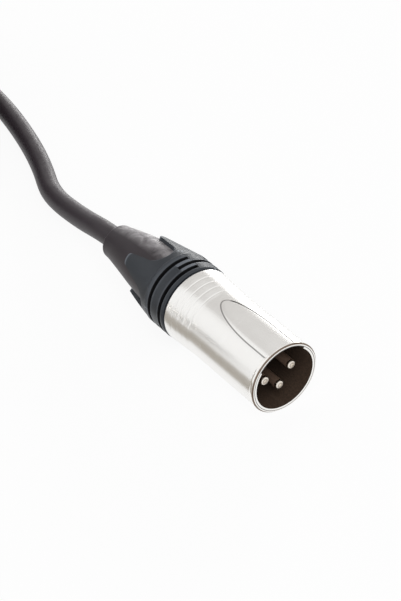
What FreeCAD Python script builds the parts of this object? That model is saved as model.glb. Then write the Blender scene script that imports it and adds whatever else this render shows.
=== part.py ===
import FreeCAD, Part
import math
import os
import Sketcher
from types import SimpleNamespace
from FreeCAD import Placement, Rotation, Vector

# A balanced microphone cable: a plug with three pins, three metres of round cord and a socket.
# Row frame: the plug lies along X with its mouth towards +X, +Z is up and z = 0 is the table.
# Every connector piece is drawn in its own connector's frame: X is the distance behind the mouth
# (the station), Z points to the key, and a turn about X is seen from the back of the connector.

# Driving dimensions, in millimetres and degrees.
SIZES = {
    # shells
    "rim_radius": 9.5,
    "rim_length": 1.6,
    "rim_edge": 0.35,
    "barrel_radius": 9.38,
    "mouth_radius": 8.26,
    "mouth_depth": 15.0,
    "plug_shell_length": 34.26,
    "socket_shell_length": 41.0,
    "rear_bore_radius": 8.6,
    "rear_edge_radius": 9.9,
    "first_ring": 8.9,
    "ring_pitch": 2.1,
    "keyway_depth": 0.45,
    "keyway_angle": 100.0,
    "keyway_length": 13.5,
    "catch_station": 5.6,
    "catch_length": 3.4,
    "catch_width": 5.6,
    "catch_depth": 0.4,
    # arched panel on the plug's shell
    "panel_half_width": 4.31,
    "panel_straight": 7.0,
    "panel_arch": 15.4,
    "panel_rise": 0.22,
    # contacts
    "contact_circle": 3.96,
    "pin_radius": 1.2,
    "pin_tip_station": 2.3,
    "pin_tip_round": 0.95,
    "pin_body_radius": 1.55,
    "cup_radius": 1.4,
    "cup_bore": 1.0,
    "cup_length": 5.4,
    "cup_depth": 3.6,
    "socket_bore": 1.22,
    "socket_bore_depth": 12.5,
    "socket_tube_radius": 1.75,
    "press_gap": 0.03,
    # inserts and what stands behind them
    "insert_gap": 0.05,
    "insert_rear": 10.76,
    "ground_ring": 0.4,
    "ground_ring_bore": 5.95,
    "ground_finger_width": 2.4,
    "ground_finger_length": 3.4,
    # nose and latch of the socket
    "nose_radius": 7.95,
    "nose_wall": 0.85,
    "nose_length": 15.9,
    "nose_edge": 0.3,
    "shoulder_depth": 3.1,
    "slot_width": 5.4,
    "slot_start": 3.6,
    "channel_floor": 4.4,
    "latch_width": 4.8,
    "latch_bar_bottom": 6.2,
    "latch_bar_top": 7.25,
    "latch_front": 4.8,
    "latch_rear": 28.6,
    "hook_top": 8.9,
    "hook_start": 6.6,
    "hook_end": 8.1,
    "button_start": 17.4,
    "button_length": 8.0,
    "button_top": 10.3,
    "button_gap": 0.3,
    "pivot_station": 27.3,
    "pivot_height": 6.75,
    "pivot_radius": 0.6,
    "pivot_clearance": 0.05,
    "pivot_length": 7.6,
    "latch_travel": 4.0,
    "leaf_thickness": 0.2,
    "leaf_width": 3.0,
    # chuck
    "chuck_gap": 0.05,
    "chuck_radius": 7.2,
    "chuck_bore": 5.7,
    "chuck_cone_start": 1.1,
    "chuck_end": 8.2,
    "chuck_end_radius": 5.4,
    "jaw_slot": 1.0,
    # collar
    "collar_gap": 0.5,
    "collar_radius": 10.05,
    "collar_edge": 0.3,
    "spigot_length": 6.3,
    "spigot_radius": 8.45,
    "collar_cylinder_end": 8.0,
    "ridge_step": 0.12,
    "prong_root": 10.0,
    "prong_root_wall": 1.17,
    "prong_tip": 20.74,
    "prong_tip_wall": 0.94,
    "scallop_round": 3.7,
    "scallop_flare": 1.15,
    "prong_end_round": 0.8,
    "groove_width": 0.95,
    "groove_depth": 1.8,
    "front_groove": 2.05,
    "middle_groove": 4.05,
    "rear_groove": 6.13,
    "long_groove_angle": 150.0,
    "short_groove_angle": 80.0,
    "groove_turn": 33.0,
    # boot
    "boot_front": 9.74,
    "boot_front_radius": 8.5,
    "boot_tip_radius": 7.03,
    "boot_neck": 25.3,
    "boot_neck_radius": 6.2,
    "boot_waist": 29.3,
    "boot_waist_radius": 5.45,
    "boot_end": 35.24,
    "boot_end_radius": 4.75,
    "boot_end_round": 0.45,
    # cord
    "cord_radius": 2.9,
    "web_clearance": 0.2,
    "jacket_end": 3.7,
    "wire_radius": 0.6,
    "wire_circle": 1.3,
    "coil_radius": 31.5,
    "coil_wide": 3.0,
    "coil_high": 4.0,
    "coil_round": 2.4,
    "coil_ridge": 3.2,
    "tie_angle": 26.0,
    "tie_thickness": 1.0,
    # where things lie
    "plug_roll": 8.0,
    "socket_nose": -26.0,
    "socket_row": -61.5,
    "coil_centre_forward": -138.4,
    "coil_centre_side": -25.5,
    "tie_turn": -20.0,
}

doc = FreeCAD.newDocument("MicrophoneCable")
sheet = doc.addObject("Spreadsheet::Sheet", "Sizes")
for row, (alias, number) in enumerate(SIZES.items(), start=1):
    sheet.set(f"A{row}", alias)
    sheet.set(f"B{row}", str(number))
    sheet.setAlias(f"B{row}", alias)


class Size:
    """A number together with the spreadsheet expression that gives it."""

    def __init__(self, value, text):
        self.value = float(value)
        self.text = text

    def __add__(self, other):
        other = as_size(other)
        return Size(self.value + other.value, f"({self.text} + {other.text})")

    def __sub__(self, other):
        other = as_size(other)
        return Size(self.value - other.value, f"({self.text} - {other.text})")

    def __mul__(self, other):
        other = as_size(other)
        return Size(self.value * other.value, f"({self.text} * {other.text})")

    def __truediv__(self, other):
        other = as_size(other)
        return Size(self.value / other.value, f"({self.text} / {other.text})")

    def __radd__(self, other):
        return as_size(other) + self

    def __rsub__(self, other):
        return as_size(other) - self

    def __rmul__(self, other):
        return as_size(other) * self


def as_size(item):
    return item if isinstance(item, Size) else Size(item, str(float(item)))


size = SimpleNamespace(**{alias: Size(number, f"Sizes.{alias}") for alias, number in SIZES.items()})
subparts = []


# Drawing helpers.

def new_body(name):
    return doc.addObject("PartDesign::Body", name)


def origin_item(body, role):
    return next(item for item in body.Origin.OriginFeatures if item.Role == role)


def new_sketch(body, name, role, turn=None, height=None):
    """A sketch on one of the body's origin planes, turned about its own x axis or raised along its normal."""
    sketch = body.newObject("Sketcher::SketchObject", name)
    sketch.AttachmentSupport = [(origin_item(body, role), "")]
    sketch.MapMode = "FlatFace"
    if turn is not None:
        sketch.AttachmentOffset = Placement(Vector(), Rotation(Vector(1, 0, 0), turn.value))
        sketch.setExpression("AttachmentOffset.Rotation.Angle", turn.text)
    if height is not None:
        sketch.AttachmentOffset = Placement(Vector(0, 0, height.value), Rotation())
        sketch.setExpression("AttachmentOffset.Base.z", height.text)
    return sketch


def place_corner(sketch, edge, corner):
    """Ties the start of an edge to its two sizes, measured from the sketch's origin."""
    for kind, item, axis in (("DistanceX", corner[0], -2), ("DistanceY", corner[1], -1)):
        item = as_size(item)
        if item.text == "0.0":
            sketch.addConstraint(Sketcher.Constraint("PointOnObject", edge, 1, axis))
            continue
        index = sketch.addConstraint(Sketcher.Constraint(kind, -1, 1, edge, 1, item.value))
        sketch.setExpression(f"Constraints[{index}]", item.text)


def draw_outline(sketch, corners):
    """A closed outline of straight lines through the corners."""
    points = [Vector(as_size(x).value, as_size(y).value, 0) for x, y in corners]
    first = sketch.GeometryCount
    count = len(points)
    for index, point in enumerate(points):
        sketch.addGeometry(Part.LineSegment(point, points[(index + 1) % count]), False)
    for index in range(count):
        follower = first + (index + 1) % count
        sketch.addConstraint(Sketcher.Constraint("Coincident", first + index, 2, follower, 1))
    for index, corner in enumerate(corners):
        place_corner(sketch, first + index, corner)


def draw_circle(sketch, x, y, radius):
    """A circle whose centre and radius are tied to their sizes."""
    x, y, radius = as_size(x), as_size(y), as_size(radius)
    edge = sketch.addGeometry(Part.Circle(Vector(x.value, y.value, 0), Vector(0, 0, 1), radius.value), False)
    for kind, item, axis in (("DistanceX", x, -2), ("DistanceY", y, -1)):
        if item.text == "0.0":
            sketch.addConstraint(Sketcher.Constraint("PointOnObject", edge, 3, axis))
            continue
        index = sketch.addConstraint(Sketcher.Constraint(kind, -1, 1, edge, 3, item.value))
        sketch.setExpression(f"Constraints[{index}]", item.text)
    index = sketch.addConstraint(Sketcher.Constraint("Radius", edge, radius.value))
    sketch.setExpression(f"Constraints[{index}]", radius.text)


def revolve(body, name, corners, role="XZ_Plane", axis="H_Axis"):
    """A turned solid from half of its section."""
    sketch = new_sketch(body, name + "Section", role)
    draw_outline(sketch, corners)
    feature = body.newObject("PartDesign::Revolution", name)
    feature.Profile = sketch
    feature.ReferenceAxis = (sketch, [axis])
    feature.Angle = 360.0
    doc.recompute()
    return feature


def groove(body, name, outlines, turn, angle):
    """Cuts one or more channels over part of a turn, centred on the sketch's own direction."""
    sketch = new_sketch(body, name + "Section", "XZ_Plane", turn)
    for corners in outlines:
        draw_outline(sketch, corners)
    feature = body.newObject("PartDesign::Groove", name)
    feature.Profile = sketch
    feature.ReferenceAxis = (sketch, ["H_Axis"])
    feature.Angle = angle.value
    feature.setExpression("Angle", angle.text)
    feature.Midplane = True
    doc.recompute()
    return feature


def pocket_through(body, name, sketch):
    """Cuts a sketch's outline right through the body, both ways."""
    feature = body.newObject("PartDesign::Pocket", name)
    feature.Profile = sketch
    feature.Type = 1
    feature.Midplane = True
    doc.recompute()
    return feature


def repeat_around(body, name, feature, count, span):
    """Repeats a feature about the body's X axis, over span degrees in all."""
    pattern = body.newObject("PartDesign::PolarPattern", name)
    pattern.Originals = [feature]
    pattern.Axis = (origin_item(body, "X_Axis"), [""])
    pattern.Angle = span
    pattern.Occurrences = count
    body.Tip = pattern
    doc.recompute()
    return pattern


def edge_names(feature, test):
    """Names of the circular edges whose centre station and radius pass the test."""
    names = []
    for index, edge in enumerate(feature.Shape.Edges, start=1):
        if isinstance(edge.Curve, Part.Circle) and test(edge.Curve.Center, edge.Curve.Radius):
            names.append(f"Edge{index}")
    return names


def fillet_ring(body, name, feature, station, radius, fillet):
    """Rounds the ring-shaped edge at a station and radius."""
    near = 1e-4
    names = edge_names(feature, lambda centre, r: abs(centre.x - station.value) < near
                       and abs(r - radius.value) < near)
    rounding = body.newObject("PartDesign::Fillet", name)
    rounding.Base = (feature, names)
    rounding.Radius = fillet.value
    rounding.setExpression("Radius", fillet.text)
    doc.recompute()
    return rounding


def box(name, corner, lengths):
    """A box from its lowest corner and its three lengths."""
    block = doc.addObject("Part::Box", name)
    for prop, item in zip(("Length", "Width", "Height"), lengths):
        item = as_size(item)
        setattr(block, prop, item.value)
        block.setExpression(prop, item.text)
    for axis, item in zip("xyz", corner):
        item = as_size(item)
        block.setExpression(f"Placement.Base.{axis}", item.text)
    return block


def cylinder(name, radius, start, length):
    """A cylinder about the connector's axis, from a start station."""
    solid = doc.addObject("Part::Cylinder", name)
    solid.Placement = Placement(Vector(), Rotation(Vector(0, 1, 0), 90))
    for prop, item in (("Radius", radius), ("Height", length), ("Placement.Base.x", start)):
        solid.setExpression(prop, as_size(item).text)
    return solid


def combine(kind, name, base, tool):
    """A boolean of two objects: kind is Cut, Common or Fuse."""
    result = doc.addObject("Part::" + kind, name)
    result.Base = base
    result.Tool = tool
    doc.recompute()
    return result


def keep(item, label, placement):
    """Names a finished sub-part and puts it in its place."""
    item.Label = label
    item.Placement = placement
    subparts.append(item)


# Where the two connectors lie. Both rest on their collars, and both mouths point to +X.
plug_total = size.plug_shell_length + size.boot_end
axis_height = size.collar_radius
turn_mouth_forward = Rotation(Vector(0, 0, 1), 180)
plug_mouth = Vector(plug_total.value / 2, 0, axis_height.value)
plug_place = Placement(plug_mouth, Rotation(Vector(1, 0, 0), size.plug_roll.value) * turn_mouth_forward)
socket_mouth = Vector(size.socket_nose.value, size.socket_row.value, axis_height.value)
socket_place = Placement(socket_mouth, turn_mouth_forward)

# Contact 1 is on the left of the plug's face and on the right of the socket's, contact 3 is opposite the key.
PLUG_CONTACTS = {1: -90.0, 2: 90.0, 3: 180.0}
SOCKET_CONTACTS = {1: 90.0, 2: -90.0, 3: 180.0}
RING_COUNT = 4


def around(angle, radius):
    """The point at an angle from the key and a distance from the axis, as y and z."""
    return -radius * math.sin(math.radians(angle)), radius * math.cos(math.radians(angle))


def contact_sizes(angle):
    """The same point on the contact circle as two sizes, for right angles only."""
    side = {-90.0: 1.0, 90.0: -1.0, 180.0: 0.0}[angle]
    up = {-90.0: 0.0, 90.0: 0.0, 180.0: -1.0}[angle]
    return side * size.contact_circle, up * size.contact_circle


# Shells.

def barrel_corners(start, rear):
    """The outside of a shell's barrel up to its rear edge, with the shallow ring steps ahead of the edge."""
    ring_rise = (size.rear_edge_radius - size.barrel_radius) / RING_COUNT
    corners = [(start, size.barrel_radius)]
    for step in range(RING_COUNT):
        station = rear - size.first_ring + step * size.ring_pitch
        corners.append((station, size.barrel_radius + step * ring_rise))
        corners.append((station, size.barrel_radius + (step + 1) * ring_rise))
    corners.append((rear, size.rear_edge_radius))
    return corners


def make_plug_shell():
    """Die-cast shell: rolled rim, open mouth, wide keyway, arched panel and the bore for the collar."""
    rear = size.plug_shell_length
    body = new_body("PlugShellTurning")
    corners = [
        (0, size.mouth_radius),
        (0, size.rim_radius - size.rim_edge),
        (size.rim_edge, size.rim_radius),
        (size.rim_length, size.rim_radius),
    ]
    corners += barrel_corners(size.rim_length + size.rim_edge, rear)
    corners += [
        (rear, size.rear_bore_radius),
        (size.mouth_depth, size.rear_bore_radius),
        (size.mouth_depth, size.mouth_radius),
    ]
    revolve(body, "PlugShellTurned", corners)

    arch = doc.addObject("Part::Ellipse", "PanelArch")
    arch.setExpression("MajorRadius", size.panel_arch.text)
    arch.setExpression("MinorRadius", size.panel_half_width.text)
    arch.setExpression("Placement.Base.x", size.panel_straight.text)
    arch_prism = doc.addObject("Part::Extrusion", "PanelArchPrism")
    arch_prism.Base = arch
    arch_prism.DirMode = "Custom"
    arch_prism.Dir = Vector(0, 0, 1)
    arch_prism.Solid = True
    arch_prism.setExpression("LengthFwd", (2 * size.rim_radius).text)
    straight = box(
        "PanelStraight",
        (size.rim_length, -1 * size.panel_half_width, 0),
        (size.panel_straight - size.rim_length, 2 * size.panel_half_width, 2 * size.rim_radius))
    outline = combine("Fuse", "PanelOutline", arch_prism, straight)
    start = size.rim_length
    length = size.panel_straight + size.panel_arch
    outer = cylinder("PanelOuter", size.barrel_radius + size.panel_rise, start, length)
    inner = cylinder("PanelInner", size.barrel_radius - size.panel_rise, start, length)
    skin = combine("Cut", "PanelSkin", outer, inner)
    panel = combine("Common", "Panel", skin, outline)
    with_panel = combine("Fuse", "PlugShellPanelled", body, panel)

    keyway_radius = size.mouth_radius + size.keyway_depth
    ring = combine(
        "Cut", "KeywayRing",
        cylinder("KeywayOuter", keyway_radius, -1 * size.rim_length, size.rim_length + size.keyway_length),
        cylinder("KeywayInner", size.mouth_radius - size.keyway_depth, -1 * size.rim_length,
                 size.rim_length + size.keyway_length))
    wedge = doc.addObject("Part::Cylinder", "KeywayWedge")
    wedge.setExpression("Radius", (2 * size.rim_radius).text)
    wedge.setExpression("Height", (2 * size.plug_shell_length).text)
    wedge.setExpression("Angle", size.keyway_angle.text)
    half = size.keyway_angle.value / 2
    wedge.Placement = Placement(Vector(-size.plug_shell_length.value, 0, 0),
                                Rotation(Vector(1, 0, 0), 90 - half) * Rotation(Vector(0, 1, 0), 90)
                                * Rotation(Vector(0, 0, 1), 90))
    keyway = combine("Common", "Keyway", ring, wedge)
    with_keyway = combine("Cut", "PlugShellKeyed", with_panel, keyway)

    pocket = box(
        "CatchPocket",
        (size.catch_station, -0.5 * size.catch_width, size.mouth_radius / 2),
        (size.catch_length, size.catch_width, size.mouth_radius / 2 + size.keyway_depth + size.catch_depth))
    shell = combine("Cut", "PlugShell", with_keyway, pocket)
    keep(shell, "plug_shell", plug_place)


def make_socket_shell():
    """Die-cast shell with the round nose that enters a plug, and the slot that the latch works in."""
    rear = size.socket_shell_length
    shoulder = size.nose_length + size.shoulder_depth
    body = new_body("SocketShellTurning")
    corners = [
        (0, size.nose_radius - size.nose_wall),
        (0, size.nose_radius - size.nose_edge),
        (size.nose_edge, size.nose_radius),
        (size.nose_length, size.nose_radius),
        (size.nose_length, size.barrel_radius - size.rim_edge),
        (size.nose_length + size.rim_edge, size.barrel_radius + 0.5 * size.ridge_step),
    ]
    corners += barrel_corners(size.nose_length + size.rim_length, rear)
    corners += [
        (rear, size.rear_bore_radius),
        (shoulder, size.rear_bore_radius),
        (shoulder, size.nose_radius - size.nose_wall),
    ]
    revolve(body, "SocketShellTurned", corners)
    nose_slot = box(
        "NoseSlot",
        (size.slot_start, -0.5 * size.slot_width, size.channel_floor),
        (size.button_start - size.slot_start, size.slot_width, size.rim_radius))
    window_width = size.latch_width + 2 * size.button_gap + 2 * size.button_gap
    window = box(
        "ButtonWindow",
        (size.button_start - size.button_gap, -0.5 * window_width, size.channel_floor),
        (size.button_length + 2 * size.button_gap, window_width, size.rim_radius))
    slotted = combine("Cut", "SocketShellSlotted", body, nose_slot)
    shell = combine("Cut", "SocketShell", slotted, window)
    keep(shell, "socket_shell", socket_place)


# Inserts and contacts.

def insert_body(name, corners, angles, hole_radius, start, rear):
    """A turned insert with one hole for each contact."""
    body = new_body(name + "Turning")
    revolve(body, name + "Turned", corners)
    for number, angle in angles.items():
        side, up = contact_sizes(angle)
        sketch = new_sketch(body, f"{name}Hole{number}", "YZ_Plane", height=start - size.press_gap)
        draw_circle(sketch, side, up, hole_radius)
        drill = body.newObject("PartDesign::Pocket", f"{name}Drilled{number}")
        drill.Profile = sketch
        drill.Type = 0
        drill.Reversed = True
        drill.Length = (rear - start).value + 1
        drill.setExpression("Length", (rear - start + 2 * size.press_gap).text)
        doc.recompute()
    return body


def make_plug_insert():
    """Round carrier of the three pins, seated on the step behind the mouth."""
    rear = size.plug_shell_length - size.insert_rear
    radius = size.rear_bore_radius - size.insert_gap
    corners = [(size.mouth_depth, 0), (size.mouth_depth, radius), (rear, radius), (rear, 0)]
    hole = size.pin_body_radius + size.press_gap
    body = insert_body("PlugInsert", corners, PLUG_CONTACTS, hole, size.mouth_depth, rear)
    keep(body, "plug_insert", plug_place)


def make_socket_insert():
    """Carrier of the three socket contacts: a round nose, a wider seat and a channel under the latch."""
    rear = size.socket_shell_length - size.insert_rear
    shoulder = size.nose_length + size.shoulder_depth
    nose = size.nose_radius - size.nose_wall - size.insert_gap
    seat = size.rear_bore_radius - size.insert_gap
    front = size.nose_edge
    corners = [
        (front, 0),
        (front, nose),
        (shoulder, nose),
        (shoulder, seat),
        (rear, seat),
        (rear, 0),
    ]
    hole = size.socket_tube_radius + size.press_gap
    body = insert_body("SocketInsert", corners, SOCKET_CONTACTS, hole, front, rear)
    channel = box(
        "LatchChannel",
        (size.slot_start, -0.5 * size.slot_width, size.channel_floor),
        (size.latch_rear + size.button_gap - size.slot_start, size.slot_width, size.rim_radius))
    top = combine("Cut", "SocketInsertChannelled", body, channel)
    hole = doc.addObject("Part::Cylinder", "PivotSeat")
    hole.Placement = Placement(Vector(), Rotation(Vector(1, 0, 0), 90))
    hole.setExpression("Radius", (size.pivot_radius + size.press_gap / 2).text)
    hole.setExpression("Height", (size.pivot_length + 2 * size.press_gap).text)
    hole.setExpression("Placement.Base.x", size.pivot_station.text)
    hole.setExpression("Placement.Base.y", (0.5 * size.pivot_length + size.press_gap).text)
    hole.setExpression("Placement.Base.z", size.pivot_height.text)
    insert = combine("Cut", "SocketInsert", top, hole)
    keep(insert, "socket_insert", socket_place)


def contact_place(connector, angle):
    """The place of a contact that is turned about its own axis."""
    side, up = around(angle, size.contact_circle.value)
    return connector.multiply(Placement(Vector(0, side, up), Rotation()))


def solder_cup(start):
    """Corners of a hollow solder cup, from the back of its bore to the axis side of its root."""
    end = start + size.cup_length
    return [
        (start, size.cup_radius),
        (end, size.cup_radius),
        (end, size.cup_bore),
        (end - size.cup_depth, size.cup_bore),
        (end - size.cup_depth, 0),
    ]


def make_pins():
    """Turned pins with a rounded tip, a body held in the insert and a solder cup."""
    rear = size.plug_shell_length - size.insert_rear
    front = size.mouth_depth + size.insert_gap
    for number, angle in PLUG_CONTACTS.items():
        body = new_body(f"Pin{number}Turning")
        corners = [
            (size.pin_tip_station, 0),
            (size.pin_tip_station, size.pin_radius),
            (front, size.pin_radius),
            (front, size.pin_body_radius),
            (rear, size.pin_body_radius),
        ]
        turned = revolve(body, f"Pin{number}Turned", corners + solder_cup(rear))
        fillet_ring(body, f"Pin{number}Tip", turned, size.pin_tip_station, size.pin_radius, size.pin_tip_round)
        keep(body, f"plug_pin_{number}", contact_place(plug_place, angle))


def make_sockets():
    """Turned socket contacts: an open tube that takes a pin, and a solder cup."""
    rear = size.socket_shell_length - size.insert_rear
    front = size.nose_edge
    bottom = front + size.socket_bore_depth
    for number, angle in SOCKET_CONTACTS.items():
        body = new_body(f"Socket{number}Turning")
        corners = [
            (bottom, 0),
            (bottom, size.socket_bore),
            (front, size.socket_bore),
            (front, size.socket_tube_radius),
            (rear, size.socket_tube_radius),
        ]
        revolve(body, f"Socket{number}Turned", corners + solder_cup(rear))
        keep(body, f"socket_contact_{number}", contact_place(socket_place, angle))


def make_ground_contact(name, shell_length, place, label):
    """Stamped ring behind the insert, with a finger that presses on the shell's bore."""
    start = shell_length - size.insert_rear
    outer = size.rear_bore_radius - size.insert_gap
    body = new_body(name + "Ring")
    corners = [
        (start, size.ground_ring_bore),
        (start, outer),
        (start + size.ground_ring, outer),
        (start + size.ground_ring, size.ground_ring_bore),
    ]
    revolve(body, name + "Turned", corners)
    finger = box(
        name + "Finger",
        (start, -0.5 * size.ground_finger_width, -1 * outer + size.ground_ring / 2),
        (size.ground_ring + size.ground_finger_length, size.ground_finger_width, size.ground_ring))
    keep(combine("Fuse", name, body, finger), label, place)


# Latch of the socket.

def make_latch():
    """Lever with the hook at the front, the push button on top and the eye at the back."""
    body = new_body("LatchLever")
    sketch = new_sketch(body, "LatchOutline", "XZ_Plane")
    button_end = size.button_start + size.button_length
    draw_outline(sketch, [
        (size.latch_front, size.latch_bar_bottom),
        (size.latch_front, size.latch_bar_top - size.button_gap),
        (size.hook_start, size.hook_top),
        (size.hook_end, size.hook_top),
        (size.hook_end, size.latch_bar_top),
        (size.button_start, size.latch_bar_top),
        (size.button_start, size.button_top - size.button_gap),
        (size.button_start + size.button_gap, size.button_top),
        (button_end - 3 * size.button_gap, size.button_top - size.button_gap),
        (button_end, size.latch_bar_top + size.shoulder_depth / 2),
        (button_end, size.latch_bar_top + size.button_gap),
        (size.latch_rear, size.latch_bar_top + size.button_gap),
        (size.latch_rear, size.latch_bar_bottom),
    ])
    pad = body.newObject("PartDesign::Pad", "LatchPadded")
    pad.Profile = sketch
    pad.Midplane = True
    pad.Length = size.latch_width.value
    pad.setExpression("Length", size.latch_width.text)
    doc.recompute()
    eye = new_sketch(body, "LatchEye", "XZ_Plane")
    draw_circle(eye, size.pivot_station, size.pivot_height, size.pivot_radius + size.pivot_clearance)
    pocket_through(body, "LatchDrilled", eye)
    keep(body, "latch_button", socket_place)


def make_latch_pivot():
    """Steel pin that the latch turns on, held at both ends in the insert."""
    body = new_body("LatchPivot")
    sketch = new_sketch(body, "LatchPivotCircle", "XZ_Plane")
    draw_circle(sketch, size.pivot_station, size.pivot_height, size.pivot_radius)
    pad = body.newObject("PartDesign::Pad", "LatchPivotPadded")
    pad.Profile = sketch
    pad.Midplane = True
    pad.Length = size.pivot_length.value
    pad.setExpression("Length", size.pivot_length.text)
    doc.recompute()
    keep(body, "latch_pivot_pin", socket_place)


def make_latch_spring():
    """Leaf spring that lies in the channel and lifts the lever."""
    body = new_body("LatchSpring")
    sketch = new_sketch(body, "LatchSpringOutline", "XZ_Plane")
    floor = size.channel_floor
    start = size.hook_end + size.hook_end / 2
    middle = start + size.button_length
    end = middle + size.button_length / 2
    lift = size.latch_bar_bottom - size.press_gap
    thick = size.leaf_thickness
    draw_outline(sketch, [
        (start, floor),
        (start, floor + thick),
        (middle, floor + thick),
        (end - thick, lift),
        (end, lift),
        (end, lift - thick),
        (middle + thick, floor),
    ])
    pad = body.newObject("PartDesign::Pad", "LatchSpringPadded")
    pad.Profile = sketch
    pad.Midplane = True
    pad.Length = size.leaf_width.value
    pad.setExpression("Length", size.leaf_width.text)
    doc.recompute()
    keep(body, "latch_spring", socket_place)


# Rear half, the same on both connectors: chuck, collar and boot.

def make_chuck(name, shell_length, place, label):
    """Collet that the collar squeezes onto the cord: a tube in front and four tapered jaws behind."""
    front = shell_length - size.insert_rear + size.ground_ring + size.chuck_gap
    cone = shell_length - size.chuck_cone_start
    end = shell_length + size.chuck_end
    throat = cone + (size.chuck_radius - size.chuck_bore)
    grip = throat + (size.chuck_bore - size.cord_radius) / 2
    body = new_body(name + "Body")
    corners = [
        (front, size.chuck_bore),
        (front, size.chuck_radius),
        (cone, size.chuck_radius),
        (end, size.chuck_end_radius),
        (end, size.cord_radius),
        (grip, size.cord_radius),
        (throat, size.chuck_bore),
    ]
    revolve(body, name + "Turned", corners)
    sketch = new_sketch(body, name + "Slot", "XZ_Plane")
    half = size.jaw_slot / 2
    draw_outline(sketch, [(cone, half), (end + half, half), (end + half, -1 * half), (cone, -1 * half)])
    slot = pocket_through(body, name + "Slotted", sketch)
    repeat_around(body, name + "Jaws", slot, 2, 90.0)
    keep(body, label, place)


def scallop_sketch(body, name, shell_length):
    """The U-shaped gap between two prongs, seen from above: a round bottom and flared sides."""
    root = shell_length + size.prong_root
    bend = root + size.scallop_round
    tip = shell_length + size.prong_tip
    near_tip = tip - size.prong_end_round
    half = size.scallop_round + size.scallop_flare
    wide = half + size.prong_end_round
    past = tip + size.prong_end_round
    sketch = new_sketch(body, name, "XY_Plane")
    corners = [
        (bend, size.scallop_round),
        (near_tip, half),
        (past, wide),
        (past, -1 * wide),
        (near_tip, -1 * half),
        (bend, -1 * size.scallop_round),
    ]
    points = [Vector(as_size(x).value, as_size(y).value, 0) for x, y in corners]
    for first, second in zip(points, points[1:]):
        sketch.addGeometry(Part.LineSegment(first, second), False)
    centre = Vector(bend.value, 0, 0)
    circle = Part.Circle(centre, Vector(0, 0, 1), size.scallop_round.value)
    arc = sketch.addGeometry(Part.ArcOfCircle(circle, math.radians(90), math.radians(270)), False)
    last = len(points) - 2
    for index in range(last):
        sketch.addConstraint(Sketcher.Constraint("Coincident", index, 2, index + 1, 1))
    sketch.addConstraint(Sketcher.Constraint("Coincident", arc, 1, 0, 1))
    sketch.addConstraint(Sketcher.Constraint("Coincident", arc, 2, last, 2))
    for index in range(last + 1):
        place_corner(sketch, index, corners[index])
    sketch.addConstraint(Sketcher.Constraint("PointOnObject", arc, 3, -1))
    index = sketch.addConstraint(Sketcher.Constraint("DistanceX", -1, 1, arc, 3, bend.value))
    sketch.setExpression(f"Constraints[{index}]", bend.text)
    index = sketch.addConstraint(Sketcher.Constraint("DistanceX", -1, 1, last, 2, bend.value))
    sketch.setExpression(f"Constraints[{index}]", bend.text)
    return sketch


def groove_outline(middle):
    """Section of one relief groove at a station, cut from outside the collar."""
    half = size.groove_width / 2
    floor = size.collar_radius - size.groove_depth
    above = size.collar_radius + size.groove_depth
    return [(middle - half, floor), (middle + half, floor), (middle + half, above), (middle - half, above)]


def make_collar(name, shell_length, place, label):
    """Clamping collar: threaded spigot, staggered relief grooves and four prongs over the boot."""
    spigot = shell_length - size.spigot_length
    face = shell_length + size.collar_gap
    ridge = shell_length + size.collar_cylinder_end
    root = shell_length + size.prong_root
    tip = shell_length + size.prong_tip
    boot = shell_length + size.boot_front
    web = shell_length + size.chuck_end + size.chuck_gap
    cone = shell_length - size.chuck_cone_start
    bore = size.chuck_radius + size.chuck_gap
    cone_end = size.chuck_end_radius + size.chuck_gap
    around_cord = size.cord_radius + size.web_clearance
    body = new_body(name + "Body")
    corners = [
        (spigot, bore),
        (spigot, size.spigot_radius),
        (face, size.spigot_radius),
        (face, size.collar_radius - size.collar_edge),
        (face + size.collar_edge, size.collar_radius),
        (ridge, size.collar_radius),
        (ridge, size.collar_radius - size.ridge_step),
        (root, size.boot_front_radius + size.press_gap + size.prong_root_wall),
        (tip, size.boot_tip_radius + size.press_gap + size.prong_tip_wall),
        (tip, size.boot_tip_radius + size.press_gap),
        (boot, size.boot_front_radius + size.press_gap),
        (boot, around_cord),
        (web, around_cord),
        (web, cone_end),
        (cone, bore),
    ]
    revolve(body, name + "Turned", corners)
    scallop = pocket_through(body, name + "Scallop", scallop_sketch(body, name + "ScallopShape", shell_length))
    repeat_around(body, name + "Prongs", scallop, 2, 90.0)
    long_turn = size.groove_turn + 90
    outlines = [groove_outline(shell_length + item) for item in (size.front_groove, size.rear_groove)]
    long_cut = groove(body, name + "LongGrooves", outlines, long_turn, size.long_groove_angle)
    repeat_around(body, name + "LongPair", long_cut, 2, 180.0)
    outlines = [groove_outline(shell_length + size.middle_groove)]
    short_cut = groove(body, name + "ShortGroove", outlines, size.groove_turn, size.short_groove_angle)
    repeat_around(body, name + "ShortPair", short_cut, 2, 180.0)
    keep(body, label, place)


def make_boot(name, shell_length, place, label):
    """Soft sleeve under the prongs, tapering onto the cord."""
    front = shell_length + size.boot_front
    end = shell_length + size.boot_end
    body = new_body(name + "Body")
    corners = [
        (front, size.cord_radius),
        (front, size.boot_front_radius),
        (shell_length + size.prong_tip, size.boot_tip_radius),
        (shell_length + size.boot_neck, size.boot_neck_radius),
        (shell_length + size.boot_waist, size.boot_waist_radius),
        (end - size.boot_end_round, size.boot_end_radius),
        (end, size.boot_end_radius - size.boot_end_round),
        (end, size.cord_radius),
    ]
    revolve(body, name + "Turned", corners)
    keep(body, label, place)


# Cord, wires and tie.

def bend_radius(before, corner, after):
    """Radius of the arc that rounds a corner of a route."""
    first = before - corner
    second = after - corner
    turn = math.pi - first.getAngle(second)
    shorter = min(first.Length, second.Length)
    return 0.45 * shorter / math.tan(turn / 2)


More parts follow.
